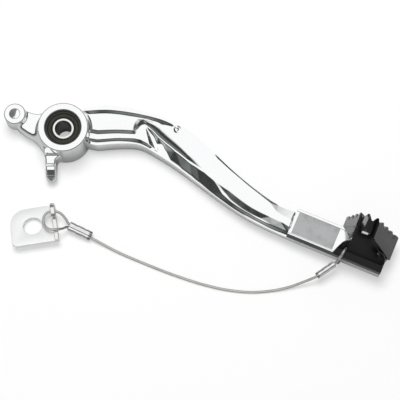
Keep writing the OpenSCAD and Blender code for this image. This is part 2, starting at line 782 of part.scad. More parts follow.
module ferrule_tab() {
    p = cable_route;
    n = len(p);
    color("silver") crimp_sleeve(p[27], p[26], p[n - 2], p[26] + (p[n - 2] - p[27]));
}

// Bent steel tab: a plate for the frame bolt and an upright ear for the cable
module anchor_tab() {
    corner = 10;
    left = tab_t / 2 - tab_len;
    color("lightgray")
        translate(tab_pivot)
            rotate([0, 0, tab_turn])
                rotate([-tab_tilt, 0, 0]) {
                    difference() {
                        translate([0, 0, -tab_drop - tab_t])
                            linear_extrude(height = tab_t)
                                polygon(concat(
                                    [
                                        [tab_t / 2, tab_far], [tab_t / 2, -ear_foot],
                                        [left + 2, -ear_foot], [left, -ear_foot + 2]
                                    ],
                                    [
                                        for (i = [0:8])
                                        [
                                            left + corner - corner * cos(90 * i / 8),
                                            tab_far - corner + corner * sin(90 * i / 8)
                                        ]
                                    ]
                                ));
                        translate([left + 13.5, tab_far - tab_w / 2, -tab_drop - tab_t - 1])
                            cylinder(h = tab_t + 2, d = tab_hole, $fn = 64);
                    }
                    difference() {
                        union() {
                            rotate([0, 90, 0])
                                cylinder(h = tab_t, r = ear_r, center = true, $fn = 64);
                            translate([-tab_t / 2, 0, 0])
                                rotate([90, 0, 90])
                                    linear_extrude(height = tab_t)
                                        polygon([
                                            [ear_r, 0], [ear_r, -tab_drop - eps],
                                            [-ear_foot, -tab_drop - eps],
                                            [-ear_foot, -tab_drop + 1.2],
                                            [-ear_r - 2.4, -tab_drop + 1.8],
                                            [-ear_r + 0.3, -1.2]
                                        ]);
                        }
                        rotate([0, 90, 0])
                            cylinder(h = tab_t + 2, d = ear_hole, center = true, $fn = 48);
                    }
                }
}

pedal_arm();
pivot_sleeve();
bearing_cup();
bearing_cage();
bearing_needles();
seal_outboard();
seal_inboard();
step();
step_screws();
cable();
ferrule_step();
ferrule_tab();
anchor_tab();
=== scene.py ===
"""Looks of a forged motorcycle rear brake pedal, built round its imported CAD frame.

Sizes are in millimetres in the part's own frame and become metres only where a
mesh is made: the pivot axis is the origin, X runs to the step, Y is up on the
motorcycle, and Z is outboard along the pivot.
"""

import logging
import math
from dataclasses import dataclass
from enum import Enum

import bmesh
import bpy
import numpy as np
from mathutils import Matrix, Vector
from mathutils.geometry import delaunay_2d_cdt


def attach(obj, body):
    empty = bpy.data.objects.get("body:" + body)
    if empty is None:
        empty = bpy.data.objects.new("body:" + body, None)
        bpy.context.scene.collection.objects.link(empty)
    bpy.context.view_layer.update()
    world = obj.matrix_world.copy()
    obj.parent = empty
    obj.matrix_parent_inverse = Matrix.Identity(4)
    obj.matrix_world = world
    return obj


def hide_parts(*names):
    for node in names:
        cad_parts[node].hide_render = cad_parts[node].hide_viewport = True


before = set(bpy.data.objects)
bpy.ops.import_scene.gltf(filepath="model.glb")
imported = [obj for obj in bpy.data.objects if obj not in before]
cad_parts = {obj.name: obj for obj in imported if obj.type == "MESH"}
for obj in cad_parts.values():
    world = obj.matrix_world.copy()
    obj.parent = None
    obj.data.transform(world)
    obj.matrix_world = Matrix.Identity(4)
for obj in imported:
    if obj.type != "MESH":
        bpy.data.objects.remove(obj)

LOG = logging.getLogger("pedal")
MM = 0.001


class Body(Enum):
    """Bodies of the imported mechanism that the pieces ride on."""

    PEDAL = "pedal"
    SLEEVE = "sleeve"
    CAGE = "cage"
    TAB = "tab"


class Paint(Enum):
    """Finishes of the pedal's pieces."""

    POLISHED = "polished_forging"
    BLASTED = "blasted_panel"
    SLEEVE = "ground_sleeve"
    BORE = "bore_painted_shade"
    BEARING_AND_SHADE = "bearing_steel"
    CAGE = "cage_steel"
    RUBBER = "seal_rubber"
    BLACK = "step_black"
    BLACK_SHEEN = "step_black_painted_sheen"
    SCREW = "black_oxide"
    CRIMP = "crimp_alloy"
    ZINC_LIT = "zinc_sheet_painted_light"
    WIRE = "wire_rope"


# Lower and upper edge of the arm in X and Y, station by station
ARM_LOW = np.array(
    [
        [5.6, -8.0], [20.0, -8.2], [34.0, -7.2], [46.5, -8.0], [58.0, -14.0],
        [70.0, -22.0], [83.0, -32.2], [97.0, -43.2], [111.0, -53.0], [124.6, -60.4],
        [138.6, -66.8],
    ]
)
ARM_HIGH = np.array(
    [
        [2.8, 14.0], [22.0, 16.8], [36.0, 15.8], [51.0, 12.4], [64.0, 7.8],
        [77.0, 0.6], [89.5, -10.8], [103.0, -24.4], [117.5, -37.0], [131.0, -46.4],
        [144.2, -51.2],
    ]
)

# Breaklines of the outboard face: station, share across from the lower edge, level
ARM_LINES = {
    "rim": [
        (0, 0, 14.6), (2.4, 0, 14.6), (3.0, 0, 14.2), (3.6, 0, 13.4), (4.1, 0, 12.8),
        (4.6, 0, 12.2), (5.2, 0, 11.7), (5.8, 0, 11.6), (6.5, 0, 11.8), (7.3, 0, 12.2),
        (8.2, 0, 12.3), (9.1, 0, 12.1), (10, 0, 12.0),
    ],
    "ledge": [
        (0, 0.065, 15.3), (1.0, 0.066, 15.3), (2.0, 0.068, 15.3), (2.45, 0.058, 15.25),
        (3.0, 0.05, 14.8), (3.55, 0.045, 14.0), (4.04, 0.05, 13.4), (4.6, 0.055, 12.8),
        (5.1, 0.055, 12.4), (5.6, 0.06, 12.3), (6.0, 0.055, 12.3), (6.5, 0.04, 12.3),
        (6.9, 0.035, 12.4), (7.3, 0.045, 12.8), (7.75, 0.06, 12.95), (8.2, 0.075, 13.0),
        (8.6, 0.08, 12.9), (9.1, 0.07, 12.7), (10, 0.07, 12.6),
    ],
    "rib_low": [
        (0, 0.125, 17), (1.0, 0.128, 17), (2.0, 0.13, 17), (2.5, 0.13, 17),
        (2.75, 0.14, 16.9), (2.95, 0.155, 16.6), (3.2, 0.12, 16.1), (3.45, 0.10, 15.7),
        (3.84, 0.08, 12.9), (4.04, 0.08, 13.4),
    ],
    "rib_up": [
        (0, 0.25, 17), (1.0, 0.25, 17), (2.0, 0.25, 17), (2.48, 0.25, 17), (2.72, 0.26, 16.8),
    ],
    "facet_left": [
        (2.95, 0.155, 16.6), (2.83, 0.35, 16.8), (2.83, 0.46, 16.9), (2.91, 0.57, 16.9),
        (3.04, 0.58, 16.8),
    ],
    "facet_right": [(3.04, 0.58, 16.8), (3.23, 0.33, 16.4), (3.45, 0.10, 15.7)],
    "floor_low": [(0, 0.375, 15.3), (1.0, 0.375, 15.3), (2.0, 0.375, 15.3), (2.42, 0.375, 15.3)],
    "ramp_1": [(2.40, 0.375, 15.3), (2.38, 0.55, 14.8), (2.38, 0.68, 14.7), (2.44, 0.79, 14.7)],
    "ramp_2": [(2.54, 0.37, 15.6), (2.53, 0.54, 15.1), (2.56, 0.67, 14.95), (2.64, 0.78, 14.8)],
    "ramp_3": [(2.68, 0.37, 16.3), (2.69, 0.53, 16.0), (2.76, 0.65, 15.7), (2.88, 0.75, 15.2)],
    "floor_high": [
        (0, 0.80, 14.7), (1.0, 0.80, 14.7), (1.9, 0.795, 14.7), (2.3, 0.79, 14.7),
        (2.7, 0.795, 14.7), (3.2, 0.80, 14.7), (3.66, 0.82, 14.8), (3.9, 0.835, 15.0),
        (4.17, 0.86, 15.6), (4.32, 0.89, 16.4),
    ],
    "upper_rim": [
        (0, 0.90, 17), (1.0, 0.895, 17), (1.9, 0.885, 17), (2.3, 0.885, 17),
        (2.75, 0.89, 17), (3.2, 0.905, 17), (3.66, 0.925, 17), (3.9, 0.93, 17),
        (4.17, 0.93, 17), (4.38, 0.92, 16.9),
    ],
    "top_edge": [
        (0, 1, 16.7), (1, 1, 16.7), (2, 1, 16.7), (3, 1, 16.7), (3.9, 1, 16.8),
        (4.4, 1, 16.7), (4.7, 1, 16.4), (5.2, 1, 15.9), (5.6, 1, 15.8), (6.2, 1, 15.8),
        (6.6, 1, 16.0), (7.3, 1, 16.1), (8.2, 1, 16.0), (8.6, 1, 15.8), (9.04, 1, 15.2),
        (9.7, 1, 14.6), (10, 1, 14.2),
    ],
    "crown": [
        (4.38, 0.92, 16.9), (4.7, 0.86, 16.8), (5.2, 0.76, 16.5), (5.6, 0.72, 16.4),
        (6.0, 0.78, 16.4), (6.4, 0.93, 16.6), (7.3, 0.955, 16.7), (8.2, 0.94, 16.7),
        (8.6, 0.91, 16.7), (9.04, 0.70, 16.6), (9.7, 0.60, 16.3),
    ],
    "valley": [
        (3.15, 0.53, 16.1), (3.30, 0.43, 15.3), (3.46, 0.32, 14.7), (3.66, 0.19, 13.8),
        (3.84, 0.08, 12.9),
    ],
    "v_left": [(3.36, 0.50, 16.3), (3.60, 0.38, 15.3), (3.82, 0.24, 14.1), (3.98, 0.09, 13.5)],
    "v_right": [(3.86, 0.37, 16.4), (4.06, 0.31, 15.0), (4.28, 0.20, 13.7), (4.54, 0.07, 12.9)],
    "ridge_low": [
        (3.04, 0.58, 16.8), (3.25, 0.545, 16.9), (3.77, 0.405, 17.0), (4.16, 0.345, 17.0),
        (4.69, 0.295, 17.0), (5.43, 0.265, 16.9), (6.10, 0.335, 16.8), (6.45, 0.33, 16.6),
        (6.6, 0.29, 16.1), (6.92, 0.17, 14.6), (7.28, 0.14, 14.2), (7.71, 0.13, 14.2),
        (8.14, 0.14, 14.3), (8.65, 0.15, 14.3), (9.1, 0.16, 14.2), (9.7, 0.17, 14.0),
    ],
    "ridge_high": [
        (3.04, 0.62, 16.8), (3.25, 0.575, 16.9), (3.77, 0.435, 17.0), (4.16, 0.375, 17.0),
        (4.69, 0.325, 17.0), (5.43, 0.295, 16.9), (6.10, 0.365, 16.8), (6.5, 0.345, 16.7),
        (6.72, 0.31, 16.2), (7.03, 0.235, 15.0), (7.27, 0.172, 14.4), (7.70, 0.158, 14.4),
        (8.13, 0.168, 14.5), (8.56, 0.19, 14.5), (9.1, 0.17, 14.3), (9.7, 0.18, 14.1),
    ],
    "flank_up": [
        (6.5, 0.345, 16.7), (6.84, 0.36, 16.8), (7.17, 0.39, 16.9), (7.61, 0.375, 16.9),
        (8.04, 0.37, 16.9), (8.47, 0.39, 16.9), (8.90, 0.42, 16.8), (9.35, 0.42, 16.7),
        (9.7, 0.34, 16.5),
    ],
    "end_top": [
        (9.7, 0.07, 12.6), (9.7, 0.17, 14.0), (9.7, 0.18, 14.1), (9.7, 0.34, 16.5),
        (9.7, 0.60, 16.3), (9.7, 1, 14.6),
    ],
    "end_foot": [(9.78, 0.07, 12.6), (9.78, 0.34, 14.5), (9.78, 0.60, 14.5), (9.78, 1, 14.2)],
    "end": [(10, 0.07, 12.4), (10, 0.34, 14.3), (10, 0.60, 14.3), (10, 1, 14.2)],
}

# Middle line of the safety cable, from cut end to cut end
CABLE_ROUTE = np.array(
    [
        [155.4, -88.1, 10.2], [164.8, -81.9, 11.8], [166.2, -80.7, 13.2], [166.9, -80.2, 16.6],
        [167.0, -80.1, 20.0], [167.8, -79.4, 22.8], [169.1, -77.4, 24.0], [170.5, -75.4, 22.9],
        [171.0, -74.8, 20.2], [171.0, -74.8, 5.6], [170.4, -75.5, 2.8], [169.1, -77.5, 1.9],
        [167.7, -79.5, 3.0], [166.9, -80.3, 6.0], [166.2, -80.8, 8.6], [164.8, -81.9, 10.0],
        [154.0, -89.0, 7.6], [146.0, -91.9, 4.6], [138.0, -94.4, 2.4], [128.0, -96.4, 1.1],
        [115.0, -97.4, 0.9], [100.0, -96.0, 0.9], [85.0, -92.5, 0.9], [68.0, -86.9, 0.9],
        [50.0, -79.8, 0.9], [33.0, -72.4, 1.2], [16.5, -63.9, 3.2], [2.9, -57.8, 5.6],
        [-0.6, -59.6, 8.8], [-4.2, -60.5, 10.7], [-8.2, -60.4, 11.0], [-11.3, -57.6, 10.4],
        [-12.0, -53.6, 10.0], [-10.2, -50.2, 9.6], [-6.3, -48.8, 9.4], [-2.2, -49.6, 8.8],
        [1.2, -52.8, 7.4], [3.7, -56.2, 5.6], [16.3, -61.7, 3.6],
    ]
)


def ramp(x: np.ndarray, a: float, b: float) -> np.ndarray:
    """Smooth step from 0 to 1 as x goes from a to b: 3 t squared less 2 t cubed."""
    t = np.clip((np.asarray(x, float) - a) / (b - a), 0, 1)
    return t * t * (3 - 2 * t)


def quarter(d: np.ndarray, reach: float, height: float) -> np.ndarray:
    """Level of a quarter of an ellipse at the distance d: height at 0, nothing past its reach."""
    q = np.clip(1 - d / reach, 0, 1)
    return height * (1 - np.sqrt(1 - q * q))


def between(low: np.ndarray, high: np.ndarray, share: np.ndarray) -> np.ndarray:
    """Points from one line to another: the first plus a share of the way to the second."""
    return low[:, None] + (high - low)[:, None] * share[None, :, None]


def smooth_at(points: np.ndarray, x: np.ndarray) -> np.ndarray:
    """Points on a smooth curve, cubic between evenly numbered control points.

    Args:
        points: control points, one per row.
        x: positions along it, 0 at the first control point.

    Returns:
        One point per position.
    """
    points = np.asarray(points, float)
    n = len(points) - 1
    x = np.clip(np.asarray(x, float), 0, n)
    i = np.minimum(n - 1, np.floor(x).astype(int))
    t = (x - i)[:, None]
    a = points[np.maximum(0, i - 1)]
    b = points[i]
    c = points[i + 1]
    d = points[np.minimum(n, i + 2)]
    return (
        b
        + (c - a) * t / 2
        + (2 * a - 5 * b + 4 * c - d) * t * t / 2
        + (3 * b - a - 3 * c + d) * t**3 / 2
    )


def route_points(route: np.ndarray, rings: int) -> np.ndarray:
    """Points along a curve whose knots are spaced by the root of each chord.

    Args:
        route: control points, one per row.
        rings: points for each span.

    Returns:
        The points of all spans and the last control point.
    """
    ext = np.vstack([2 * route[0] - route[1], route, 2 * route[-1] - route[-2]])
    a, b, c, d = (ext[i : len(ext) - 3 + i, None, :] for i in range(4))
    k1 = np.sqrt(np.linalg.norm(b - a, axis=2, keepdims=True))
    k2 = k1 + np.sqrt(np.linalg.norm(c - b, axis=2, keepdims=True))
    k3 = k2 + np.sqrt(np.linalg.norm(d - c, axis=2, keepdims=True))
    k = k1 + (k2 - k1) * (np.arange(rings) / rings)[None, :, None]
    a1 = a * (k1 - k) / k1 + b * k / k1
    a2 = b * (k2 - k) / (k2 - k1) + c * (k - k1) / (k2 - k1)
    a3 = c * (k3 - k) / (k3 - k2) + d * (k - k2) / (k3 - k2)
    b1 = a1 * (k2 - k) / k2 + a2 * k / k2
    b2 = a2 * (k3 - k) / (k3 - k1) + a3 * (k - k1) / (k3 - k1)
    spans = b1 * (k2 - k) / (k2 - k1) + b2 * (k - k1) / (k2 - k1)
    return np.vstack([spans.reshape(-1, 3), route[-1]])


def run_along(line: np.ndarray) -> np.ndarray:
    """Distance from the first point of a line to each of its points."""
    return np.concatenate([[0], np.cumsum(np.linalg.norm(np.diff(line, axis=0), axis=1))])


def even_points(line: np.ndarray, count: int) -> np.ndarray:
    """The same line with its points at equal distances."""
    run = run_along(line)
    want = np.linspace(0, run[-1], count)
    return np.stack([np.interp(want, run, line[:, i]) for i in range(line.shape[1])], 1)


def blur(rows: np.ndarray, sigma: float, axis: int) -> np.ndarray:
    """Gaussian blur of an array along one axis, with its ends held."""
    n = max(1, int(math.ceil(3 * sigma)))
    k = np.exp(-0.5 * (np.arange(-n, n + 1) / sigma) ** 2)
    k /= k.sum()
    pad = [(0, 0)] * rows.ndim
    pad[axis] = (n, n)
    wide = np.pad(rows, pad, mode="edge")
    count = rows.shape[axis]
    return sum(w * np.take(wide, range(i, i + count), axis=axis) for i, w in enumerate(k))


def terrain(lines: dict, s: np.ndarray, t: np.ndarray) -> np.ndarray:
    """Level of a faceted surface given by breaklines, flat on each triangle between them.

    Args:
        lines: name to list of (station, share, level).
        s: stations of the places that are wanted.
        t: shares of the places that are wanted.

    Returns:
        The level at each place, or not a number outside the lines.
    """
    # A station is about 14 mm long and the arm about 22 mm across
    scale = np.array([14.0, 22.0])
    spacing = 0.3
    verts: list = []
    edges: list = []
    for pts in lines.values():
        start = len(verts)
        pts = np.array(pts, float)
        for a, b in zip(pts[:-1], pts[1:]):
            steps = max(1, int(abs(b[0] - a[0]) / spacing))
            verts.extend(a + (b - a) * k / steps for k in range(steps))
        verts.append(pts[-1])
        edges += [(i, i + 1) for i in range(start, len(verts) - 1)]
    v = np.array(verts)
    flat = [tuple(p) for p in v[:, :2] * scale]
    co, _, faces, orig, _, _ = delaunay_2d_cdt(flat, edges, [], 0, 1e-4)
    co = np.array([tuple(c) for c in co]) / scale
    z = np.array([v[list(o), 2].mean() if o else np.nan for o in orig])
    for i in np.where(np.isnan(z))[0]:
        d = np.linalg.norm((v[:, :2] - co[i]) * scale, axis=1)
        near = np.argsort(d)[:4]
        z[i] = np.average(v[near, 2], weights=1 / (d[near] + 1e-6))
    out = np.full(s.shape, np.nan)
    for f in faces:
        a, b, c = co[f[0]], co[f[1]], co[f[2]]
        det = (b[0] - a[0]) * (c[1] - a[1]) - (c[0] - a[0]) * (b[1] - a[1])
        if abs(det) < 1e-12:
            continue
        u = ((s - a[0]) * (c[1] - a[1]) - (c[0] - a[0]) * (t - a[1])) / det
        w = ((b[0] - a[0]) * (t - a[1]) - (s - a[0]) * (b[1] - a[1])) / det
        inside = (u >= -1e-6) & (w >= -1e-6) & (u + w <= 1 + 1e-6)
        out[inside] = (z[f[0]] + u * (z[f[1]] - z[f[0]]) + w * (z[f[2]] - z[f[0]]))[inside]
    return out


def make_object(
    name: str, points: np.ndarray, faces: list, uv: np.ndarray, sharp: float
) -> bpy.types.Object:
    """A mesh object at the origin from points in millimetres.

    Args:
        name: the object's name.
        points: places, one per row.
        faces: lists of point numbers.
        uv: the UV map in millimetres, one row per point.
        sharp: angle in degrees above which an edge shades sharp.

    Returns:
        The linked object.
    """
    mesh = bpy.data.meshes.new(name)
    mesh.from_pydata((np.asarray(points, float) * MM).tolist(), [], faces)
    mesh.update()
    layer = mesh.uv_layers.new(name="UVMap")
    index = np.empty(len(mesh.loops), np.int32)
    mesh.loops.foreach_get("vertex_index", index)
    layer.data.foreach_set("uv", np.asarray(uv, np.float32)[index].ravel())
    mesh.shade_smooth()
    mesh.set_sharp_from_angle(angle=math.radians(sharp))
    obj = bpy.data.objects.new(name, mesh)
    bpy.context.scene.collection.objects.link(obj)
    return obj


def face_centres(obj: bpy.types.Object) -> np.ndarray:
    """Middle of each face of an object in millimetres, one per row."""
    centre = np.empty(len(obj.data.polygons) * 3)
    obj.data.polygons.foreach_get("center", centre)
    return centre.reshape(-1, 3) / MM


def grid_faces(rows: int, cols: int, wrap_rows: bool, flip: bool) -> list:
    """Quads of a grid of points numbered row by row, closed round its columns."""
    r = np.arange(rows if wrap_rows else rows - 1)
    rr, cc = np.meshgrid(r, np.arange(cols), indexing="ij")
    after, next_col = (rr + 1) % rows, (cc + 1) % cols
    corners = [rr * cols + cc, rr * cols + next_col, after * cols + next_col, after * cols + cc]
    quad = np.stack(corners, -1).reshape(-1, 4)
    return quad[:, ::-1].tolist() if flip else quad.tolist()


def tube_object(
    name: str, points: np.ndarray, flip: bool = False, sharp: float = 40.0, caps: bool = True
) -> bpy.types.Object:
    """A closed surface over rows of points, each row a ring, with flat ends.

    Args:
        name: the object's name.
        points: (rows, columns, 3) places in millimetres.
        flip: turns the faces over where the rings run the other way.
        sharp: angle in degrees above which an edge shades sharp.
        caps: closes the first and last ring, or joins them to each other if not.

    Returns:
        The linked object.
    """
    rows, cols, _ = points.shape
    faces = grid_faces(rows, cols, not caps, flip)
    if caps:
        first = list(range(cols))
        last = [(rows - 1) * cols + j for j in range(cols)]
        faces += [first, last[::-1]] if flip else [first[::-1], last]
    u = np.concatenate([[0], np.cumsum(np.linalg.norm(np.diff(points, axis=0), axis=2).mean(1))])
    v = np.concatenate([[0], np.cumsum(np.linalg.norm(np.diff(points, axis=1), axis=2).mean(0))])
    uv = np.stack(np.meshgrid(u, v, indexing="ij"), -1).reshape(-1, 2)
    return make_object(name, points.reshape(-1, 3), faces, uv, sharp)


def rounded(profile: list, radius: float, steps: int = 4) -> np.ndarray:
    """A closed profile with each corner replaced by a parabola of about the radius.

    Args:
        profile: corners as (r, z) pairs.
        radius: how far the round reaches along each side.
        steps: spans of each round.

    Returns:
        The points of the rounded profile.
    """
    b = np.array(profile, float)
    a, c = np.roll(b, 1, axis=0), np.roll(b, -1, axis=0)
    la = np.linalg.norm(a - b, axis=1, keepdims=True)
    lc = np.linalg.norm(c - b, axis=1, keepdims=True)
    cut = np.minimum(radius, np.minimum(la, lc) * 0.45)
    p, q = b + (a - b) / la * cut, b + (c - b) / lc * cut
    t = np.linspace(0, 1, steps + 1)[None, :, None]
    arc = (1 - t) ** 2 * p[:, None] + 2 * t * (1 - t) * b[:, None] + t**2 * q[:, None]
    return arc.reshape(-1, 2)


def revolve(
    name: str, profile: list, radius: float, centre: tuple = (0.0, 0.0), segments: int = 144
) -> bpy.types.Object:
    """A turned ring: a closed profile carried round a vertical axis.

    Args:
        name: the object's name.
        profile: corners as (r, z), counterclockwise seen with r to the right.
        radius: rounding of the corners.
        centre: place of the axis.
        segments: steps round the axis.

    Returns:
        The linked object.
    """
    prof = rounded(profile, radius)
    a = np.linspace(0, 2 * np.pi, segments, endpoint=False)
    pts = np.empty((len(prof), segments, 3))
    pts[..., 0] = centre[0] + prof[:, :1] * np.cos(a)
    pts[..., 1] = centre[1] + prof[:, :1] * np.sin(a)
    pts[..., 2] = prof[:, 1:]
    return tube_object(name, pts, flip=True, sharp=50, caps=False)


def add_node(tree: bpy.types.NodeTree, kind: str, inputs: dict, **settings: object) -> bpy.types.Node:
    """Adds a node, sets it and fills or links its inputs.

    Args:
        tree: the tree that gets the node.
        kind: the node's type.
        inputs: input to its value, or to the output that feeds it.
        settings: attributes of the node, such as its operation.

    Returns:
        The node.
    """
    node = tree.nodes.new(kind)
    for key, value in settings.items():
        setattr(node, key, value)
    for key, value in inputs.items():
        if isinstance(value, bpy.types.NodeSocket):
            tree.links.new(value, node.inputs[key])
        else:
            node.inputs[key].default_value = value
    return node


@dataclass(frozen=True)
class Finish:
    """What one material looks like.

    colour is linear RGB. grain and grain_depth set a fine bump, ripple a broad one
    as hand polishing leaves it, and wear mixes in duller marks.
    """

    colour: tuple
    wear_colour: tuple
    metallic: float = 1.0
    roughness: float = 0.2
    spread: float = 0.06
    grain: float = 1200.0
    grain_depth: float = 0.02
    ripple: float = 0.0
    wear: float = 0.12
    specular: float = 0.5

    def material(self, name: str, group: bpy.types.NodeTree) -> bpy.types.Material:
        """A material of this finish, its detail from the shared node group.

        Args:
            name: the material's name.
            group: the node group that varies its surface.

        Returns:
            The material.
        """
        mat = bpy.data.materials.new(name)
        mat.use_nodes = True
        bsdf = mat.node_tree.nodes["Principled BSDF"]
        values = {
            "Colour": (*self.colour, 1), "Wear Colour": (*self.wear_colour, 1), "Wear": self.wear,
            "Roughness": self.roughness, "Spread": self.spread, "Grain": self.grain,
            "Depth": self.grain_depth, "Ripple": self.ripple,
        }
        detail = add_node(mat.node_tree, "ShaderNodeGroup", {}, node_tree=group)
        for key, value in values.items():
            detail.inputs[key].default_value = value
        bsdf.inputs["Metallic"].default_value = self.metallic
        bsdf.inputs["Specular IOR Level"].default_value = self.specular
        for given, wanted in (("Colour", "Base Color"), ("Roughness", "Roughness"), ("Normal", "Normal")):
            mat.node_tree.links.new(detail.outputs[given], bsdf.inputs[wanted])
        mat.diffuse_color = (*self.colour, 1)
        return mat


FINISHES = {
    Paint.POLISHED: Finish(
        (0.965, 0.97, 0.975), (0.84, 0.85, 0.86), roughness=0.12, spread=0.05, grain=700,
        grain_depth=0.012, ripple=0.2, wear=0.06,
    ),
    Paint.BLASTED: Finish(
        (0.55, 0.555, 0.56), (0.38, 0.385, 0.39), roughness=0.48, spread=0.14, grain=1800,
        grain_depth=0.22, wear=0.7,
    ),
    Paint.SLEEVE: Finish((0.88, 0.87, 0.84), (0.62, 0.60, 0.56), roughness=0.14, grain=1500),
    # Grey of the bearing steel, also laid on the crimps' ends as painted shade
    Paint.BEARING_AND_SHADE: Finish((0.42, 0.42, 0.42), (0.32, 0.32, 0.32), roughness=0.25),
    # Darker grey for the sleeve's bore faces: painted shade inside the bore, over the turned grain of the
    # steel
    Paint.BORE: Finish(
        (0.14, 0.138, 0.13), (0.08, 0.08, 0.08), roughness=0.3, grain=500, grain_depth=0.2, wear=0.5,
    ),
    Paint.CAGE: Finish((0.5, 0.48, 0.42), (0.4, 0.38, 0.33), roughness=0.35),
    Paint.RUBBER: Finish(
        (0.022, 0.022, 0.018), (0.05, 0.05, 0.04), metallic=0.0, roughness=0.38, spread=0.1,
        grain=1400, grain_depth=0.05, specular=0.35,
    ),
    Paint.BLACK: Finish(
        (0.002, 0.002, 0.002), (0.006, 0.006, 0.006), metallic=0.0, roughness=0.12, spread=0.04,
        grain=1500, grain_depth=0.03, ripple=0.15, wear=0.2, specular=0.22,
    ),
    # Lighter grey, strongly specular copy of the step's black paint for the crown's flat sides: painted sheen
    # standing in for the light these gloss black walls mirror
    Paint.BLACK_SHEEN: Finish(
        (0.045, 0.045, 0.046), (0.075, 0.075, 0.076), metallic=0.0, roughness=0.34, spread=0.1,
        grain=1300, grain_depth=0.06, wear=0.3, specular=1.0,
    ),
    Paint.SCREW: Finish((0.05, 0.05, 0.052), (0.12, 0.12, 0.12), metallic=0.9, roughness=0.4),
    Paint.CRIMP: Finish((0.88, 0.88, 0.88), (0.66, 0.66, 0.66), roughness=0.26, grain_depth=0.04),
    # Whiter, half diffuse copy of the tab's sheet metal for its flat plate: the plating's pale grey is real,
    # its extra whiteness over the ear's finish is painted light from the overhead lamp
    Paint.ZINC_LIT: Finish(
        (0.97, 0.975, 0.98), (0.9, 0.905, 0.91), metallic=0.45, roughness=0.4, grain_depth=0.03, wear=0.1,
    ),
    Paint.WIRE: Finish((0.70, 0.68, 0.645), (0.36, 0.34, 0.32), roughness=0.36, wear=0.25),
}


class PaintShop:
    """The materials, built once from the finishes and handed to the pieces."""

    def __init__(self) -> None:
        """Builds the shared node group and one material for each finish."""
        group = self.detail_group()
        self.materials = {paint: f.material(paint.value, group) for paint, f in FINISHES.items()}

    @staticmethod
    def detail_group() -> bpy.types.NodeTree:
        """Node group that varies colour, roughness and normal over a surface.

        Returns:
            The group: three noises on object coordinates give the wear marks, the
            haze of the roughness and the fine grain, and a fourth the ripple.
        """
        group = bpy.data.node_groups.new("surface_detail", "ShaderNodeTree")
        inputs = {name: "Float" for name in ("Wear", "Roughness", "Spread", "Grain", "Depth", "Ripple")}
        for side, sockets in (
            ("INPUT", {"Colour": "Color", "Wear Colour": "Color", **inputs}),
            ("OUTPUT", {"Colour": "Color", "Roughness": "Float", "Normal": "Vector"}),
        ):
            for name, kind in sockets.items():
                group.interface.new_socket(name, in_out=side, socket_type="NodeSocket" + kind)
        given = group.nodes.new("NodeGroupInput").outputs
        place = group.nodes.new("ShaderNodeTexCoord").outputs["Object"]

        def noise(scale: object, detail: float) -> bpy.types.NodeSocket:
            """Value of a noise on object coordinates."""
            values = {"Scale": scale, "Detail": detail, "Vector": place}
            return add_node(group, "ShaderNodeTexNoise", values).outputs["Fac"]

        marks = add_node(
            group, "ShaderNodeMapRange", {"Value": noise(130, 5), "From Min": 0.46, "From Max": 0.70}
        )
        amount = add_node(
            group, "ShaderNodeMath", {0: marks.outputs[0], 1: given["Wear"]}, operation="MULTIPLY"
        )
        colour = add_node(
            group, "ShaderNodeMix",
            {"Factor": amount.outputs[0], "A": given["Colour"], "B": given["Wear Colour"]}, data_type="RGBA",
        )
        haze = add_node(group, "ShaderNodeMath", {0: noise(45, 4), 1: 0.5}, operation="SUBTRACT")
        rough = add_node(
            group, "ShaderNodeMath", {0: haze.outputs[0], 1: given["Spread"], 2: given["Roughness"]},
            operation="MULTIPLY_ADD",
        )
        broad = add_node(
            group, "ShaderNodeBump", {"Distance": 0.0006, "Strength": given["Ripple"], "Height": noise(70, 1)}
        )
        fine = add_node(
            group, "ShaderNodeBump",
            {
                "Distance": 0.0004, "Strength": given["Depth"], "Height": noise(given["Grain"], 3),
                "Normal": broad.outputs[0],
            },
        )
        made = {"Colour": colour.outputs["Result"], "Roughness": rough.outputs[0], "Normal": fine.outputs[0]}
        add_node(group, "NodeGroupOutput", made)
        return group

    def paint(self, obj: bpy.types.Object, paint: Paint) -> None:
        """Gives an object's mesh one material."""
        obj.data.materials.clear()
        obj.data.materials.append(self.materials[paint])

    def accent(self, obj: bpy.types.Object, paint: Paint, where: np.ndarray) -> None:
        """Gives some of an object's faces a second material.

        Args:
            obj: the piece, which has its first material.
            paint: the second finish.
            where: one truth value per face.
        """
        obj.data.materials.append(self.materials[paint])
        obj.data.polygons.foreach_set("material_index", where.astype(np.int32))

    def dress(self, obj: bpy.types.Object, paint: Paint, body: Body) -> bpy.types.Object:
        """Gives a piece its material and the body it rides on.

        Args:
            obj: the piece.
            paint: its finish.
            body: the body that carries it.

        Returns:
            The piece.
        """
        self.paint(obj, paint)
        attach(obj, body.value)
        LOG.info("%s: %d faces on %s", obj.name, len(obj.data.polygons), body.value)
        return obj


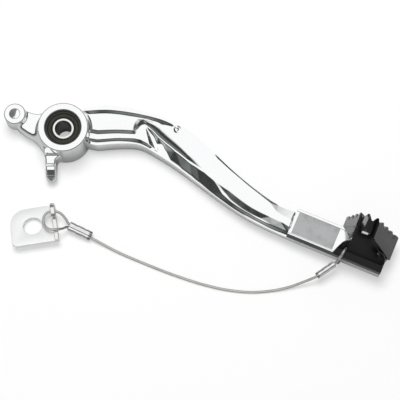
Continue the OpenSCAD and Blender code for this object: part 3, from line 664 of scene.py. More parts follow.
@dataclass(frozen=True)
class Pivot:
    """Boss, seals and sleeve round the pivot axis."""

    radius: float = 15.5
    length: float = 26.0
    recess: float = 3.0
    bearing_radius: float = 9.5
    seal_radius: float = 11.0
    seal_t: float = 3.5
    seal_rim: float = 9.8
    seal_in_z: float = 0.8
    sleeve_radius: float = 6.5
    bore_radius: float = 5.1
    sleeve_top: float = 22.5
    broken_edge: float = 0.12

    def boss(self) -> bpy.types.Object:
        """Turned boss with its seal seats, bearing seat and chamfered mouths."""
        r, top, hole, seat_r = self.radius, self.length, self.bearing_radius, self.seal_radius
        seat, low = top - self.recess - self.seal_t, self.seal_in_z + self.seal_t
        return revolve(
            "pivot_boss",
            [
                (seat_r + 0.6, 0), (r - 0.8, 0), (r, 0.8), (r, top - 0.6), (r - 0.6, top),
                (seat_r + 0.5, top), (seat_r, top - 0.5), (seat_r, seat), (hole, seat), (hole, low),
                (seat_r, low), (seat_r, 0.6),
            ],
            0.3,
        )

    def seal(self, name: str, z: float, outboard: bool) -> bpy.types.Object:
        """A moulded dust seal with a hollow and a lip towards the sleeve.

        Args:
            name: the piece's name.
            z: level of its inboard face.
            outboard: whether its lip faces outboard.

        Returns:
            The seal.
        """
        t, lip = self.seal_t, self.sleeve_radius + 0.04
        prof = [
            (self.seal_radius - 0.02, 0), (self.seal_radius - 0.02, t), (self.seal_rim, t),
            (self.seal_rim - 0.6, t - 0.9),
            (lip + 1.2, t - 0.9), (lip + 0.1, t - 0.05), (lip, t - 0.6), (lip + 1, t - 2),
            (lip + 0.5, 0),
        ]
        pts = [(r, z + h) if outboard else (r, z + t - h) for r, h in prof]
        return revolve(name, pts if outboard else pts[::-1], 0.25)

    def sleeve(self) -> bpy.types.Object:
        """Ground inner race with broken edges."""
        r, bore, top, edge = self.sleeve_radius, self.bore_radius, self.sleeve_top, self.broken_edge
        return revolve(
            "sleeve",
            [
                (bore + edge, 0), (r - 0.2, 0), (r, 0.2), (r, top - 0.15), (r - 0.15, top),
                (bore + edge, top), (bore, top - edge), (bore, edge),
            ],
            0.06,
        )

    def build(self, shop: PaintShop) -> None:
        """Builds the turned pieces and dresses the bearing's own nodes."""
        shop.dress(self.boss(), Paint.POLISHED, Body.PEDAL)
        seat = self.length - self.recess - self.seal_t
        for name, z, outboard in (("seal_outboard", seat, True), ("seal_inboard", self.seal_in_z, False)):
            ring = self.seal(name.replace("board", ""), z, outboard)
            shop.dress(ring, Paint.RUBBER, Body.PEDAL)
            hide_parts(name)
        race = shop.dress(self.sleeve(), Paint.SLEEVE, Body.SLEEVE)
        from_axis = np.hypot(*face_centres(race)[:, :2].T)
        # The bore's faces take that darker grey: painted shade inside the bore
        shop.accent(race, Paint.BORE, from_axis < self.bore_radius + 0.05)
        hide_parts("pivot_sleeve")
        for name, paint in (
            ("bearing_cup", Paint.BEARING_AND_SHADE), ("bearing_cage", Paint.CAGE), ("bearing_needles", Paint.BEARING_AND_SHADE),
        ):
            shop.paint(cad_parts[name], paint)


PIVOT = Pivot()


def bar_rings(
    low: np.ndarray, high: np.ndarray, top: np.ndarray, bottom: float, rounding: tuple
) -> np.ndarray:
    """Rings of a bar over two edge lines, its top edges each a quarter of an ellipse.

    Args:
        low: lower edge line in X and Y.
        high: upper edge line in X and Y.
        top: levels of the top face, one row per point of the lines.
        bottom: level of the bottom face.
        rounding: width and depth of the round along the lower edge, then the upper.

    Returns:
        One ring per point of the lines.
    """
    t = np.linspace(0, 1, top.shape[1])
    width = np.linalg.norm(high - low, axis=1)[:, None]
    z = top.copy()
    for share, (reach, depth) in zip((t, 1 - t), rounding):
        z -= quarter(share[None] * width, reach, depth)
    face = np.concatenate([between(low, high, t), z[..., None]], 2)
    down = np.array([0.08, 0.5, 0.92, 1.0])[None, :, None]

    def side(line: np.ndarray, level: np.ndarray) -> np.ndarray:
        """Points down one side wall."""
        z_side = level[:, None, None] * (1 - down) + bottom * down
        return np.concatenate([np.repeat(line[:, None], 4, axis=1), z_side], 2)

    return np.concatenate([face, side(high, z[:, -1]), side(low, z[:, 0])[:, ::-1]], 1)


@dataclass(frozen=True)
class Lug:
    """Pushrod lug behind the boss: an eye and the web that carries it."""

    centre: tuple = (-30.6, 11.1)
    radius: float = 6.7
    hole: float = 3.1
    bottom: float = 5.0
    web_top: float = 13.0
    eye_top: float = 18.0
    boss_fillet: float = 4.2
    eye_fillet: float = 2.4
    rounding: tuple = ((4.2, 5.0), (0.8, 0.8))
    web_low: tuple = (
        (-31.5, 6.2), (-28.4, 2.6), (-24.0, -0.6), (-19.0, -3.6), (-15.5, -7.6), (-13.0, -11.5),
    )
    web_high: tuple = (
        (-29.5, 15.5), (-26.2, 15.3), (-22.0, 13.6), (-17.6, 12.6), (-13.0, 13.0), (-7.0, 12.5),
    )

    def eye(self) -> bpy.types.Object:
        """Turned eye with a broken edge at its hole."""
        r, low, top = self.radius, self.bottom, self.eye_top
        return revolve(
            "lug_eye",
            [
                (self.hole, low), (r - 0.5, low), (r, low + 0.5), (r, top - 0.6), (r - 0.6, top),
                (self.hole + 0.3, top), (self.hole, top - 0.3),
            ],
            0.3, self.centre, 96,
        )

    def web(self) -> bpy.types.Object:
        """Web with a wide round along its lower side and hollow fillets at its ends."""
        along = np.linspace(0, 1, 110) * (len(self.web_low) - 1)
        low, high = smooth_at(self.web_low, along), smooth_at(self.web_high, along)
        xy = between(low, high, np.linspace(0, 1, 64))
        to_boss = np.linalg.norm(xy, axis=2) - PIVOT.radius
        to_eye = np.linalg.norm(xy - np.array(self.centre), axis=2) - self.radius + 0.3
        at_boss = quarter(to_boss, self.boss_fillet, self.boss_fillet)
        at_eye = quarter(to_eye, self.eye_fillet, self.eye_fillet)
        top = self.web_top + np.maximum(at_boss, at_eye)
        rings = bar_rings(low, high, top, self.bottom, self.rounding)
        return tube_object("lug_web", rings, sharp=45)

    def build(self, shop: PaintShop) -> None:
        """Builds the eye and the web."""
        for obj in (self.eye(), self.web()):
            shop.dress(obj, Paint.POLISHED, Body.PEDAL)


@dataclass(frozen=True)
class Finger:
    """Hooked finger for the return spring below the boss."""

    x: float = -8.0
    half: float = 3.3
    root: float = -11.5
    centre: float = -26.4
    bottom: float = 4.0
    shoulder: float = 16.0
    fillet: float = 2.6
    flare: float = 6.0
    rounding: tuple = ((1.7, 1.5), (1.7, 1.9))
    profile: tuple = (
        (-31.0, 5.8), (-29.8, 7.0), (-28.2, 8.6), (-26.0, 10.8), (-23.4, 13.2), (-21.4, 13.35),
        (-20.2, 16.0), (-17.0, 16.0),
    )

    def build(self, shop: PaintShop) -> None:
        """Builds the finger: a round-ended bar under a stepped and sloping profile."""
        nose = self.centre - self.half * np.sin(np.linspace(0.02, np.pi / 2, 26))
        y = np.concatenate([np.linspace(self.root, self.centre, 110), nose])
        half = np.sqrt(np.clip(self.half**2 - np.clip(self.centre - y, 0, None) ** 2, 0.01, None))
        flare = self.flare * (1 - ramp(-y, 13.5, 19.0)) ** 2
        left = np.stack([self.x - half - 0.2 * flare, y], 1)
        right = np.stack([self.x + half + flare, y], 1)
        z = blur(np.interp(y, *np.array(self.profile).T), 1.4, 0)
        near = np.linalg.norm((left + right) / 2, axis=1) - PIVOT.radius
        foot = self.shoulder + quarter(near, self.fillet, self.fillet)
        z = np.where(near < self.fillet, np.maximum(z, foot), z)
        rings = bar_rings(left, right, np.repeat(z[:, None], 30, axis=1), self.bottom, self.rounding)
        finger = tube_object("spring_finger", rings, flip=True, sharp=45)
        shop.dress(finger, Paint.POLISHED, Body.PEDAL)


@dataclass(frozen=True)
class Arm:
    """Sculpted body of the lever between the boss and the tongue."""

    fillet: float = 4.2
    floor: float = 14.7
    stub_radius: float = 13.4
    stub_turn: tuple = (-30, 110)
    nub: tuple = (69.6, 1.4)
    nub_height: float = 0.3
    nub_pit: float = 0.45
    root_rows: int = 32
    rows: int = 450
    columns: int = 140
    blur_across: float = 2.2
    blur_along: float = 1.3
    bottom: float = 2.0
    bottom_rise: float = 4.4
    trough: float = 2.6
    hollow_s: tuple = (3.12, 3.4, 3.77, 4.16, 4.69, 5.2, 5.7, 6.05)
    hollow: tuple = (
        (0.8, 0.54, 0.1), (1.9, 1.15, 0.24), (3.1, 1.7, 0.42), (4.3, 2.17, 0.6), (5.6, 2.55, 0.77),
        (7.4, 2.85, 0.94),
    )
    hollow_bound: tuple = (
        (3.0, 0.78), (3.66, 0.80), (4.17, 0.85), (4.35, 0.86), (4.7, 0.82), (5.2, 0.72), (5.6, 0.68),
        (6.1, 0.74),
    )
    hollow_depth: tuple = ((3.1, 0.6), (3.4, 1.0), (3.9, 1.0), (4.7, 0.85), (5.4, 0.55), (6.05, 0.2))

    def plan(self, s: np.ndarray, t: np.ndarray) -> np.ndarray:
        """Place in X and Y of each station and share.

        Between stations 0 and 1 the arm's root blends from a circle inside the boss
        to the section at station 1.

        Args:
            s: stations.
            t: shares across, 0 at the lower edge.

        Returns:
            A (stations, shares, 2) array.
        """
        xy = between(smooth_at(ARM_LOW, s), smooth_at(ARM_HIGH, s), t)
        first, sweep = self.stub_turn
        phi = np.radians(first + sweep * t)
        circle = self.stub_radius * np.stack([np.cos(phi), np.sin(phi)], -1)
        section = ARM_LOW[1] + (ARM_HIGH[1] - ARM_LOW[1]) * t[:, None]
        near = s < 1
        share = s[near][:, None, None]
        xy[near] = circle[None] * (1 - share) + section[None] * share
        return xy

    def lines(self) -> dict:
        """All breaklines: the drawn ones, and those of the hollow above the ridge.

        Returns:
            Name to list of (station, share, level). The hollow falls away from the
            ridge, first steeply and then less, and dies out along the arm: each of its
            lines has a distance, a fall there, and the share of the room it keeps within.
        """
        s = np.array(self.hollow_s)
        share, level = (np.interp(s, *np.array(ARM_LINES["ridge_high"]).T[[0, k]]) for k in (1, 2))
        bound = np.interp(s, *np.array(self.hollow_bound).T)
        depth = np.interp(s, *np.array(self.hollow_depth).T)
        least = np.maximum(depth, 0.6)
        width = np.linalg.norm(smooth_at(ARM_HIGH, s) - smooth_at(ARM_LOW, s), axis=1)
        room = (bound - share) * width
        lines = dict(ARM_LINES)
        for i, (away, drop, part) in enumerate(self.hollow):
            d = np.minimum(away * least, room * part)
            fall = drop * depth * d / (away * least)
            lines[f"hollow_{i}"] = np.stack([s, share + d / width, level - fall], 1).tolist()
        return lines

    def wall(self, edge: np.ndarray, push: np.ndarray, top: np.ndarray, low: np.ndarray) -> np.ndarray:
        """Side wall with a slight crown and broken edges, as rings run down it.

        Args:
            edge: edge line in X and Y.
            push: unit vectors out of the wall.
            top: levels of its upper end.
            low: levels of its lower end.

        Returns:
            A (stations, steps, 3) array.
        """
        down = np.array([0.0, 0.04, 0.12, 0.5, 0.9, 0.97, 1.0])[None, :, None]
        out = np.array([0.0, 0.08, 0.14, 0.22, 0.15, 0.08, -0.3])[None, :, None]
        xy = edge[:, None] + push[:, None] * out
        return np.concatenate([xy, top[:, None, None] + (low - top)[:, None, None] * down], 2)

    def build(self, shop: PaintShop) -> None:
        """Builds the arm: faceted outboard face, crowned walls, hollowed inboard face."""
        last = len(ARM_LOW) - 1
        root = np.linspace(0, 1, self.root_rows, endpoint=False)
        s = np.concatenate([root, np.linspace(1, last, self.rows)])
        t = np.linspace(0, 1, self.columns)
        ss, tt = np.meshgrid(s, t, indexing="ij")
        top = terrain(self.lines(), ss, tt)
        top = np.where(np.isnan(top), self.floor, top)
        top = blur(blur(top, self.blur_across, 1), self.blur_along, 0)
        xy = self.plan(s, t)
        past_boss = np.linalg.norm(xy, axis=2) - PIVOT.radius
        fillet = self.floor + quarter(past_boss, self.fillet, self.fillet)
        top = np.where(past_boss < self.fillet, np.maximum(top, fillet), top)
        nub = np.linalg.norm(xy - np.array(self.nub), axis=2)
        top = top + self.nub_height * (1 - ramp(nub, 1.0, 2.6)) - self.nub_pit * (1 - ramp(nub, 0.3, 1.2))
        bottom = self.bottom + self.bottom_rise * ramp(s, 4, 9.6)
        trough = self.trough * ramp(s, 1.2, 2.4) * (1 - ramp(s, 8, 9.4))
        across = xy[:, 1] - xy[:, 0]
        across /= np.linalg.norm(across, axis=1, keepdims=True)
        high_wall = self.wall(xy[:, -1], across, top[:, -1] - 0.15, bottom)
        low_wall = self.wall(xy[:, 0], -across, top[:, 0] - 0.15, bottom)[:, ::-1]
        share = np.linspace(0.97, 0.03, 26)
        column = np.rint(share * (len(t) - 1)).astype(int)
        dip = ramp(share, 0.16, 0.26) * (1 - ramp(share, 0.74, 0.84))
        level = bottom[:, None] + trough[:, None] * dip[None]
        under = np.concatenate([xy[:, column], level[..., None]], 2)
        face = np.concatenate([xy, top[..., None]], 2)
        arm = tube_object("arm_forging", np.concatenate([face, high_wall, under, low_wall], 1), sharp=50)
        shop.dress(arm, Paint.POLISHED, Body.PEDAL)
        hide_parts("pedal_arm")


@dataclass(frozen=True)
class Tongue:
    """Flat tongue at the lever's end, with its own frame: U along, V across, W up."""

    origin: tuple = (170.1, -80.4)
    angle: float = -23.0
    top: float = 15.0
    start: float = -37.5
    end: float = 23.0
    section: tuple = (
        (0, -2), (0, -1.85), (0.05, -1.7), (1.9, -0.08), (2.5, 0), (3.0, -0.2), (17.1, -0.2), (17.4, 0),
        (17.8, -0.03), (18.75, -0.25), (19, -0.5), (19, -8.4), (18.4, -9), (0.6, -9), (0, -8.4),
    )
    panel: tuple = (-35.6, -9.0, 3.1, 17.2)
    panel_level: float = -0.17

    def place(self, points: np.ndarray) -> np.ndarray:
        """Points (u, v, w above the tongue's face) carried into the row frame."""
        a = math.radians(self.angle)
        out = np.empty_like(points)
        out[..., 0] = self.origin[0] + points[..., 0] * math.cos(a) - points[..., 1] * math.sin(a)
        out[..., 1] = self.origin[1] + points[..., 0] * math.sin(a) + points[..., 1] * math.cos(a)
        out[..., 2] = self.top + points[..., 2]
        return out

    def build(self, shop: PaintShop) -> None:
        """Builds the bar and the blasted panel that is let into its face."""
        u = np.linspace(self.start, self.end, 160)
        pts = np.empty((len(u), len(self.section), 3))
        pts[..., 0] = u[:, None]
        pts[..., 1:] = self.section
        bar = tube_object("tongue_bar", self.place(pts), sharp=28)
        shop.dress(bar, Paint.POLISHED, Body.PEDAL)
        u0, u1, v0, v1 = self.panel
        ring = np.array([[u0, v0], [u1, v0], [u1, v1], [u0, v1]])
        line = even_points(np.vstack([ring, ring[:1]]), 121)[:-1]
        low, face, middle = -1.0, self.panel_level, ring.mean(0)
        levels = [(low, 1), (face, 1)] + [(face + 0.01, share) for share in (0.99, 0.6, 0.2, 0.01)]
        rows = [
            np.column_stack([middle + (line - middle) * share, np.full(len(line), level)])
            for level, share in levels
        ]
        panel = tube_object("tongue_panel", self.place(np.stack(rows)), sharp=40)
        shop.dress(panel, Paint.BLASTED, Body.PEDAL)


TONGUE = Tongue()


@dataclass(frozen=True)
class Step:
    """Toothed step, in the tongue's frame: U along, V across, W outboard."""

    left: float = -8.2
    root: float = 33.6
    reach: float = 25.0
    nose_u: float = 5.0
    nose_r: float = 7.5
    top: float = 25.8
    wall: float = 4.4
    pocket: float = 7.0
    tooth_depth: float = 3.2
    tooth_pitch: float = 6.5
    notch_floor: float = 0.35
    notch_run: float = 2.35
    brow: float = 15.4
    brow_slope: float = 0.25
    foot_inset: float = 0.9
    foot_lean: float = 6.0
    foot_levels: tuple = (
        (0.0, 4.0, 0.0), (0.3, 4.7, 0.0), (1.1, 5.0, 0.0), (4.2, 5.0, 0.0), (5.0, 6.0, 0.04),
        (6.0, 7.6, 0.1), (8.0, 12.4, 0.3), (9.6, 16.0, 0.6), (10.9, 18.9, 0.85), (12.0, 21.0, 0.97),
        (12.8, 21.95, 1.0), (13.5, 22.6, 1.0), (14.1, 23.05, 1.0), (14.7, 23.45, 1.0),
        (15.3, 23.84, 1.0), (16.2, 24.1, 1.0), (18.6, 24.1, 1.0),
    )
    # Places along the tongue, from the nose, outside which the crown's faces take the painted sheen
    painted_sheen_from: tuple = (-6.4, 6.2)

    def plan(self, inset: float, count: int) -> np.ndarray:
        """Plan of the step in U and W: root, side, round nose, side, root.

        Args:
            inset: distance inside the outer face.
            count: points along it.

        Returns:
            The points at equal distances.
        """
        r, nose_w = self.nose_r - inset, self.reach - self.nose_r
        left, right = self.nose_u - self.left, self.left + self.root - self.nose_u
        a_left = math.pi - math.atan2(left, nose_w) + math.asin(self.nose_r / math.hypot(left, nose_w))
        a_right = math.atan2(right, nose_w) - math.asin(self.nose_r / math.hypot(right, nose_w))
        a = np.linspace(a_left, a_right, 60)
        arc = np.stack([self.nose_u + r * np.cos(a), nose_w + r * np.sin(a)], 1)
        ends = ([self.left + inset * 1.06, 0], [self.left + self.root - inset * 1.3, 0])
        return even_points(np.vstack([ends[0], arc, ends[1]]), count)

    def crown(self) -> bpy.types.Object:
        """Toothed wall: sections along the plan, their top cut by wedge notches."""
        count = 460
        outer, inner = self.plan(0, count), self.plan(self.wall, count)
        run = run_along(outer)
        gaps = int(run[-1] // self.tooth_pitch)
        phase = (run - (run[-1] - (gaps - 1) * self.tooth_pitch) / 2) / self.tooth_pitch
        away = np.abs(phase - np.clip(np.round(phase), 0, gaps - 1)) * self.tooth_pitch
        notch = np.clip(1 - (away - self.notch_floor) / self.notch_run, 0, 1)
        top = self.top - blur(self.tooth_depth * notch, 1.2, 0)
        low = self.brow - self.brow_slope * (outer[:, 0] - self.nose_u)
        pocket = np.full(count, self.top - self.pocket)
        sections = []
        for share, v in (
            (0.06, low), (0.0, low + 0.5), (0.0, (low + top) / 2 + 0.25), (0.0, top - 0.5),
            (0.05, top - 0.12), (0.12, top), (0.5, top), (0.9, top), (1.0, top - 0.4), (1.0, pocket),
            (0.9, np.minimum(low + 0.2, pocket - 2.8)),
        ):
            place = outer + (inner - outer) * share
            sections.append(np.stack([place[:, 0], v, place[:, 1]], 1))
        return tube_object("step_crown", TONGUE.place(np.stack(sections, 1)), sharp=32)

    def floor(self) -> bpy.types.Object:
        """Floor of the pocket inside the toothed wall."""
        inner = self.plan(self.wall - 0.3, 120)
        middle = inner.mean(0)
        level = self.top - self.pocket
        rows = []
        for v, share in ((level - 2.5, 1), (level - 0.02, 1), (level, 0.97), (level, 0.5), (level, 0.02)):
            p = middle + (inner - middle) * share
            rows.append(np.stack([p[:, 0], np.full(len(p), v), p[:, 1]], 1))
        return tube_object("step_floor", TONGUE.place(np.stack(rows)), flip=True)

    def foot(self) -> bpy.types.Object:
        """Foot on the tongue and the tapered mass that rises outboard to the crown.

        Returns:
            The piece: each level, given by its place across the tongue, its reach and
            its share of the crown's plan, blends from the foot's box to that plan.
        """
        count = 200
        outer = self.plan(self.foot_inset, count)
        left, right = self.left, self.left + self.root - 2.4
        k = np.linspace(0, 1, count)
        knots = [0, 0.12, 0.14, 0.86, 0.88, 1]
        box_u = np.interp(k, knots, [left, left, left + 0.4, right - 0.4, right, right])
        rows = []
        for v, reach, share in self.foot_levels:
            box_w = np.interp(k, knots, [0, reach - 0.4, reach, reach, reach - 0.4, 0])
            plan = np.stack([outer[:, 0], outer[:, 1] * reach / (self.reach - self.foot_inset)], 1)
            p = np.stack([box_u, box_w], 1) * (1 - share) + plan * share
            rise = min(1.0, max(0.0, (v - 0.6) / 12.5))
            p[:, 0] += self.foot_lean * rise * np.clip(1 - k / 0.34, 0, 1) ** 0.7
            rows.append(np.stack([p[:, 0], np.full(count, v), p[:, 1]], 1))
        return tube_object("step_foot", TONGUE.place(np.stack(rows)), flip=True)

    def flat_sides(self, crown: bpy.types.Object) -> np.ndarray:
        """Which of the crown's faces lie on its two flat sides, outside the round nose.

        Args:
            crown: the toothed wall.

        Returns:
            One truth value per face, from the place of the face along the tongue.
        """
        away = face_centres(crown)[:, :2] - np.array(TONGUE.origin)
        a = math.radians(TONGUE.angle)
        u = away[:, 0] * math.cos(a) + away[:, 1] * math.sin(a) - self.nose_u
        return (u < self.painted_sheen_from[0]) | (u > self.painted_sheen_from[1])

    def build(self, shop: PaintShop) -> list:
        """Builds the step's pieces, dresses the screws' own node and returns the pieces."""
        crown = self.crown()
        parts = [crown, self.foot(), self.floor()]
        for obj in parts:
            shop.dress(obj, Paint.BLACK, Body.PEDAL)
        # The crown's flat sides take the lighter grey copy of the black: painted sheen
        shop.accent(crown, Paint.BLACK_SHEEN, self.flat_sides(crown))
        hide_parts("step")
        shop.paint(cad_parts["step_screws"], Paint.SCREW)
        return parts


@dataclass(frozen=True)
class AnchorTab:
    """Bent tab: a plate for the frame bolt and an upright ear for the cable."""

    pivot: tuple = (-6.3, -48.8, 9.393)
    turn: float = 9.0
    tilt: float = 14.0
    t: float = 2.6
    drop: float = 5.2
    left: float = -27.2
    far: float = 7.5
    near: float = -17.5
    corner: float = 10.0
    hole: tuple = (-13.7, -5.0, 5.75)
    ear_r: float = 5.0
    ear_hole: float = 1.8
    ear_left: tuple = ((-4.9, -1.2), (-7.4, -3.4))
    ear_right: tuple = ((6.4, -3.6), (5.1, -1.8))

    def sheet(
        self, name: str, outline: list, hole: tuple, bevel: float, matrix: Matrix
    ) -> bpy.types.Object:
        """A flat piece of the sheet with a round hole and rounded edges.

        Args:
            name: the piece's name.
            outline: corners in the sheet's own plane.
            hole: centre and radius of the hole.
            bevel: radius of the edges.
            matrix: place of the sheet's middle plane, in metres.

        Returns:
            The piece, filled and bevelled as a curve, then made a mesh.
        """
        curve = bpy.data.curves.new(name, "CURVE")
        curve.dimensions = "2D"
        curve.fill_mode = "BOTH"
        curve.extrude = (self.t / 2 - bevel) * MM
        curve.bevel_depth = bevel * MM
        curve.bevel_resolution = 3
        curve.offset = -bevel * MM
        a = np.linspace(0, 2 * np.pi, 64, endpoint=False)
        ring = np.stack([hole[0] + hole[2] * np.cos(a), hole[1] + hole[2] * np.sin(a)], 1)
        for pts in (np.array(outline, float), ring):
            spline = curve.splines.new("POLY")
            spline.points.add(len(pts) - 1)
            co = np.column_stack([pts * MM, np.zeros(len(pts)), np.ones(len(pts))])
            spline.points.foreach_set("co", co.ravel())
            spline.use_cyclic_u = True
        temp = bpy.data.objects.new(name + "_curve", curve)
        bpy.context.scene.collection.objects.link(temp)
        bpy.context.view_layer.update()
        mesh = bpy.data.meshes.new_from_object(temp.evaluated_get(bpy.context.evaluated_depsgraph_get()))
        bpy.data.objects.remove(temp)
        mesh.name = name
        shape = bmesh.new()
        shape.from_mesh(mesh)
        bmesh.ops.remove_doubles(shape, verts=shape.verts, dist=1e-6)
        bmesh.ops.recalc_face_normals(shape, faces=shape.faces)
        shape.to_mesh(mesh)
        shape.free()
        mesh.transform(matrix)
        mesh.shade_smooth()
        mesh.set_sharp_from_angle(angle=math.radians(40))
        obj = bpy.data.objects.new(name, mesh)
        bpy.context.scene.collection.objects.link(obj)
        return obj

    def build(self, shop: PaintShop) -> list:
        """Builds the plate and the ear, and returns them."""
        turn = Matrix.Rotation(math.radians(self.turn), 4, "Z")
        tilt = Matrix.Rotation(math.radians(-self.tilt), 4, "X")
        place = Matrix.Translation([c * MM for c in self.pivot]) @ (turn @ tilt)
        edge, left, near, far, r = self.t / 2, self.left, self.near, self.far, self.corner
        a = np.radians(np.linspace(0, 90, 12))
        outline = [(edge, far), (edge, near), (left + 2, near), (left, near + 2)]
        outline += list(zip(left + r - r * np.cos(a), far - r + r * np.sin(a)))
        lowered = place @ Matrix.Translation((0, 0, -(self.drop + self.t / 2) * MM))
        plate = self.sheet("tab_plate", outline, self.hole, 0.45, lowered)
        b = np.radians(np.arange(0, 170, 10))
        lobe = list(zip(self.ear_r * np.cos(b), self.ear_r * np.sin(b)))
        foot = -self.drop - 0.6
        lobe += [*self.ear_left, (near, -4.0), (near, foot), (far, foot), *self.ear_right]
        upright = Matrix(((0, 0, 1, 0), (1, 0, 0, 0), (0, 1, 0, 0), (0, 0, 0, 1)))
        ear = self.sheet("tab_ear", lobe, (0, 0, self.ear_hole), 0.4, place @ upright)
        # The plate takes the whiter copy of the sheet, painted light on its upward face; the ear takes the
        # crimps' metal finish
        for obj, paint in ((plate, Paint.ZINC_LIT), (ear, Paint.CRIMP)):
            shop.dress(obj, paint, Body.TAB)
        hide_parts("anchor_tab")
        return [plate, ear]


@dataclass(frozen=True)
class SafetyCable:
    """Wire rope with an eye at each end, closed by crimp sleeves."""

    diameter: float = 1.6
    strands: int = 7
    lay: float = 10.5
    groove: float = 0.12
    step_wall: float = 1.25
    step_waist: float = 0.94
    tab_wall: float = 1.3
    tab_waist: float = 0.66
    facets: int = 56
    # First ring of the crimp's end that, with both end faces, takes the bearing steel's darker grey as
    # painted shade
    painted_shade_ring: int = 11
    pressing: tuple = (
        (0, 0.8), (0.012, 0.95), (0.04, 1), (0.22, 1), (0.27, 0.93), (0.33, 0.93), (0.38, 1), (0.6, 1),
        (0.65, 0.93), (0.71, 0.93), (0.76, 1), (0.88, 0.97), (0.985, 0.95), (1, 0.8),
    )

    def crimp(self, name: str, ends: tuple, wall: float, waist: float) -> bpy.types.Object:
        """A crimp sleeve round two strands that run side by side.

        Args:
            name: the piece's name.
            ends: the two strands at one end, then at the other.
            wall: thickness of its wall.
            waist: thickness between the strands as a share of the full one.

        Returns:
            The sleeve: an oval ring, pressed in at two places along it.
        """
        a0, a1, b0, b1 = ends
        mouth = (a0 + b0) / 2
        axis = (a1 + b1) / 2 - mouth
        length = np.linalg.norm(axis)
        axis = axis / length
        apart = (a0 - b0) - ((a0 - b0) @ axis) * axis
        gap = np.linalg.norm(apart) / 2
        apart = apart / np.linalg.norm(apart)
        third = np.cross(axis, apart)
        r = self.diameter / 2 + wall
        a = np.linspace(0, 2 * np.pi, self.facets, endpoint=False)
        wide = np.cos(a) * (gap + r)
        thick = np.sin(a) * r * (1 - (1 - waist) * np.exp(-((np.cos(a) / 0.28) ** 2)))
        along, grow = np.array(self.pressing).T
        section = np.outer(wide, apart) + np.outer(thick, third)
        rings = mouth + axis * (length * along)[:, None, None] + section[None] * grow[:, None, None]
        return tube_object(name, rings, sharp=45)

    def rope(self, line: np.ndarray) -> bpy.types.Object:
        """The wire rope: a ring of lobes carried along a line and wound as it goes.

        Args:
            line: points at equal distances.

        Returns:
            The rope, radius falling between the strands by the groove's share.
        """
        tangent = np.gradient(line, axis=0)
        tangent /= np.linalg.norm(tangent, axis=1, keepdims=True)
        side = np.cross(tangent[0], [0, 0, 1.0])
        sides = np.empty_like(line)
        for i, along in enumerate(tangent):
            side = side - (side @ along) * along
            side /= np.linalg.norm(side)
            sides[i] = side
        ups = np.cross(sides, tangent)
        a = np.linspace(0, 2 * np.pi, 28, endpoint=False)
        turn = 2 * np.pi * run_along(line)[:, None] / self.lay
        lobes = np.abs(np.cos(self.strands / 2 * (a[None] + turn)))
        r = (self.diameter / 2 * (1 - self.groove * (1 - lobes)))[..., None]
        c, s = np.cos(a)[None, :, None], np.sin(a)[None, :, None]
        rings = line[:, None] + r * (c * sides[:, None] + s * ups[:, None])
        return tube_object("wire_cable", rings, sharp=75)

    def build(self, shop: PaintShop, tab: list) -> None:
        """Args:
            shop: the materials.
            tab: the pieces that hang on the cable's end; not used.
        """
        p = CABLE_ROUTE
        step_ends = (p[1], p[16] + (p[1] - p[15]), p[15], p[16])
        tab_ends = (p[27], p[26], p[37], p[26] + (p[37] - p[27]))
        at_step = self.crimp("crimp_step", step_ends, self.step_wall, self.step_waist)
        at_tab = self.crimp("crimp_tab", tab_ends, self.tab_wall, self.tab_waist)
        for obj, node in ((at_step, "ferrule_step"), (at_tab, "ferrule_tab")):
            shop.dress(obj, Paint.CRIMP, Body.PEDAL)
            # The end of each crimp and its end faces take the darker grey: painted shade at the crimp's end
            ring = np.arange(len(obj.data.polygons)) // self.facets
            shop.accent(obj, Paint.BEARING_AND_SHADE, ring >= self.painted_shade_ring)
            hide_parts(node)
        rope = self.rope(even_points(route_points(p, 24), 760))
        shop.dress(rope, Paint.WIRE, Body.PEDAL)
        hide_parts("cable")


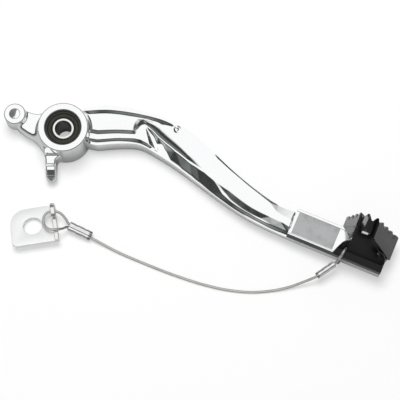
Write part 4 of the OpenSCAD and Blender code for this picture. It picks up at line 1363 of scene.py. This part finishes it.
@dataclass(frozen=True)
class Studio:
    """Camera, soft light and pale floor.

    The world that the metal mirrors is white overhead and dark round the sides, as
    in a light tent with black cards, and the floor is mirrored dimmed.
    """

    camera_place: tuple = (0.0835, -0.2668, 0.8675)
    camera_tilt: float = 14.7
    lens: float = 130.5
    fill: float = 0.34
    overhead_place: tuple = (-0.02, 0.26, 1.4)
    overhead_aim: tuple = (0.08, -0.04, 0)
    overhead_size: float = 0.6
    overhead_watts: float = 16.0
    accent_aim: tuple = (0.19, -0.065, 0.03)
    sky: tuple = ((0.0, 0.33), (0.22, 0.19), (0.40, 0.05), (0.56, 0.03), (0.68, 0.78), (0.74, 1.0))
    floor_glow: float = 0.45
    floor_dim: float = 0.5
    floor_half: float = 3.0

    def camera(self) -> None:
        """Sets the camera at the photograph's viewing angle."""
        data = bpy.data.cameras.new("camera")
        data.lens = self.lens
        data.clip_end = 20
        cam = bpy.data.objects.new("camera", data)
        cam.location = self.camera_place
        cam.rotation_euler = (math.radians(self.camera_tilt), 0, 0)
        bpy.context.scene.collection.objects.link(cam)
        bpy.context.scene.camera = cam

    def lamp(self, name: str, place: tuple, aim: tuple, size: float, watts: float) -> bpy.types.Object:
        """A square soft lamp that shines from one place to another.

        Args:
            name: its name.
            place: where it hangs.
            aim: the point it faces.
            size: its side in metres.
            watts: its power.

        Returns:
            The lamp.
        """
        light = bpy.data.lights.new(name, "AREA")
        light.size = size
        light.energy = watts
        obj = bpy.data.objects.new(name, light)
        obj.location = place
        obj.rotation_euler = (Vector(aim) - Vector(place)).to_track_quat("-Z", "Y").to_euler()
        bpy.context.scene.collection.objects.link(obj)
        return obj

    def world(self) -> None:
        """Sets a plain grey fill, a banded sky for reflections and white for the camera."""
        world = bpy.data.worlds.new("studio")
        bpy.context.scene.world = world
        world.use_nodes = True
        tree = world.node_tree
        tree.nodes.clear()
        ray = add_node(tree, "ShaderNodeLightPath", {}).outputs
        coord = add_node(tree, "ShaderNodeTexCoord", {}).outputs["Generated"]
        height = add_node(tree, "ShaderNodeSeparateXYZ", {0: coord}).outputs["Z"]
        sky = add_node(tree, "ShaderNodeValToRGB", {0: height})
        sky.color_ramp.interpolation = "EASE"
        elements = sky.color_ramp.elements
        elements.remove(elements[1])
        for i, (place, value) in enumerate(self.sky):
            element = elements.new(place) if i else elements[0]
            element.position = place
            tint = 0.1 * (1 - value)
            element.color = (value * (1 - tint), value, value * (1 - tint / 3), 1)
        mirrored = {"Factor": ray["Is Glossy Ray"], "A": (*[self.fill] * 3, 1), "B": sky.outputs[0]}
        light = add_node(tree, "ShaderNodeMix", mirrored, data_type="RGBA").outputs["Result"]
        seen = {"Factor": ray["Is Camera Ray"], "A": light, "B": (1, 1, 1, 1)}
        colour = add_node(tree, "ShaderNodeMix", seen, data_type="RGBA").outputs["Result"]
        back = add_node(tree, "ShaderNodeBackground", {"Color": colour}).outputs[0]
        add_node(tree, "ShaderNodeOutputWorld", {"Surface": back})

    def floor(self) -> None:
        """Lays the floor: white to the camera with its shadow kept, dimmed in mirrors."""
        mesh = bpy.data.meshes.new("floor")
        half = self.floor_half
        corners = [(x, y, -0.0002) for x, y in ((-half, -half), (half, -half), (half, half), (-half, half))]
        mesh.from_pydata(corners, [], [(0, 1, 2, 3)])
        floor = bpy.data.objects.new("floor", mesh)
        bpy.context.scene.collection.objects.link(floor)
        mat = bpy.data.materials.new("floor")
        mat.use_nodes = True
        tree = mat.node_tree
        bsdf = tree.nodes["Principled BSDF"]
        bsdf.inputs["Base Color"].default_value = (0.96, 0.96, 0.96, 1)
        bsdf.inputs["Roughness"].default_value = 0.9
        rays = add_node(tree, "ShaderNodeLightPath", {}).outputs
        shader = bsdf.outputs[0]
        for ray, level, amount in (
            ("Is Camera Ray", 1.0, self.floor_glow), ("Is Glossy Ray", 0.08, self.floor_dim),
        ):
            glow = add_node(tree, "ShaderNodeEmission", {"Color": (level, level, level, 1)}).outputs[0]
            share = add_node(tree, "ShaderNodeMath", {0: rays[ray], 1: amount}, operation="MULTIPLY")
            blend = {0: share.outputs[0], 1: shader, 2: glow}
            shader = add_node(tree, "ShaderNodeMixShader", blend).outputs[0]
        tree.links.new(shader, tree.nodes["Material Output"].inputs["Surface"])
        mesh.materials.append(mat)

    def build(self) -> None:
        """Sets the whole stage."""
        bpy.context.scene.view_settings.view_transform = "Standard"
        self.camera()
        overhead = self.lamp(
            "overhead", self.overhead_place, self.overhead_aim, self.overhead_size, self.overhead_watts
        )
        overhead.visible_glossy = False
        self.world()
        self.floor()

    def accents(self, pieces: list) -> None:
        """Hangs lamps that put their highlights on given pieces only.

        Args:
            pieces: the pieces that they light.
        """
        lit = bpy.data.collections.new("accented")
        for obj in pieces:
            lit.objects.link(obj)
        for name, place, size, long, watts, diffuse in (
            ("glint", (-0.1, -1.0, 0.76), 1.2, 0.24, 32.0, False),
            ("card", (-0.2, 0.42, 0.82), 0.6, 0.6, 17.0, False),
            ("side", (-0.35, 0.25, 0.22), 0.3, 0.3, 14.0, True),
        ):
            lamp = self.lamp(name, place, self.accent_aim, size, watts)
            lamp.data.shape = "RECTANGLE"
            lamp.data.size_y = long
            lamp.visible_diffuse = diffuse
            lamp.visible_glossy = not diffuse
            lamp.light_linking.receiver_collection = lit


def main() -> None:
    """Builds the pedal's sub-assemblies in order and sets the stage round them."""
    logging.basicConfig(level=logging.INFO)
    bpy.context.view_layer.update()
    studio = Studio()
    studio.build()
    shop = PaintShop()
    tab = AnchorTab().build(shop)
    SafetyCable().build(shop, tab)
    PIVOT.build(shop)
    Arm().build(shop)
    Lug().build(shop)
    Finger().build(shop)
    TONGUE.build(shop)
    studio.accents(Step().build(shop))


if __name__ == "__main__":
    main()
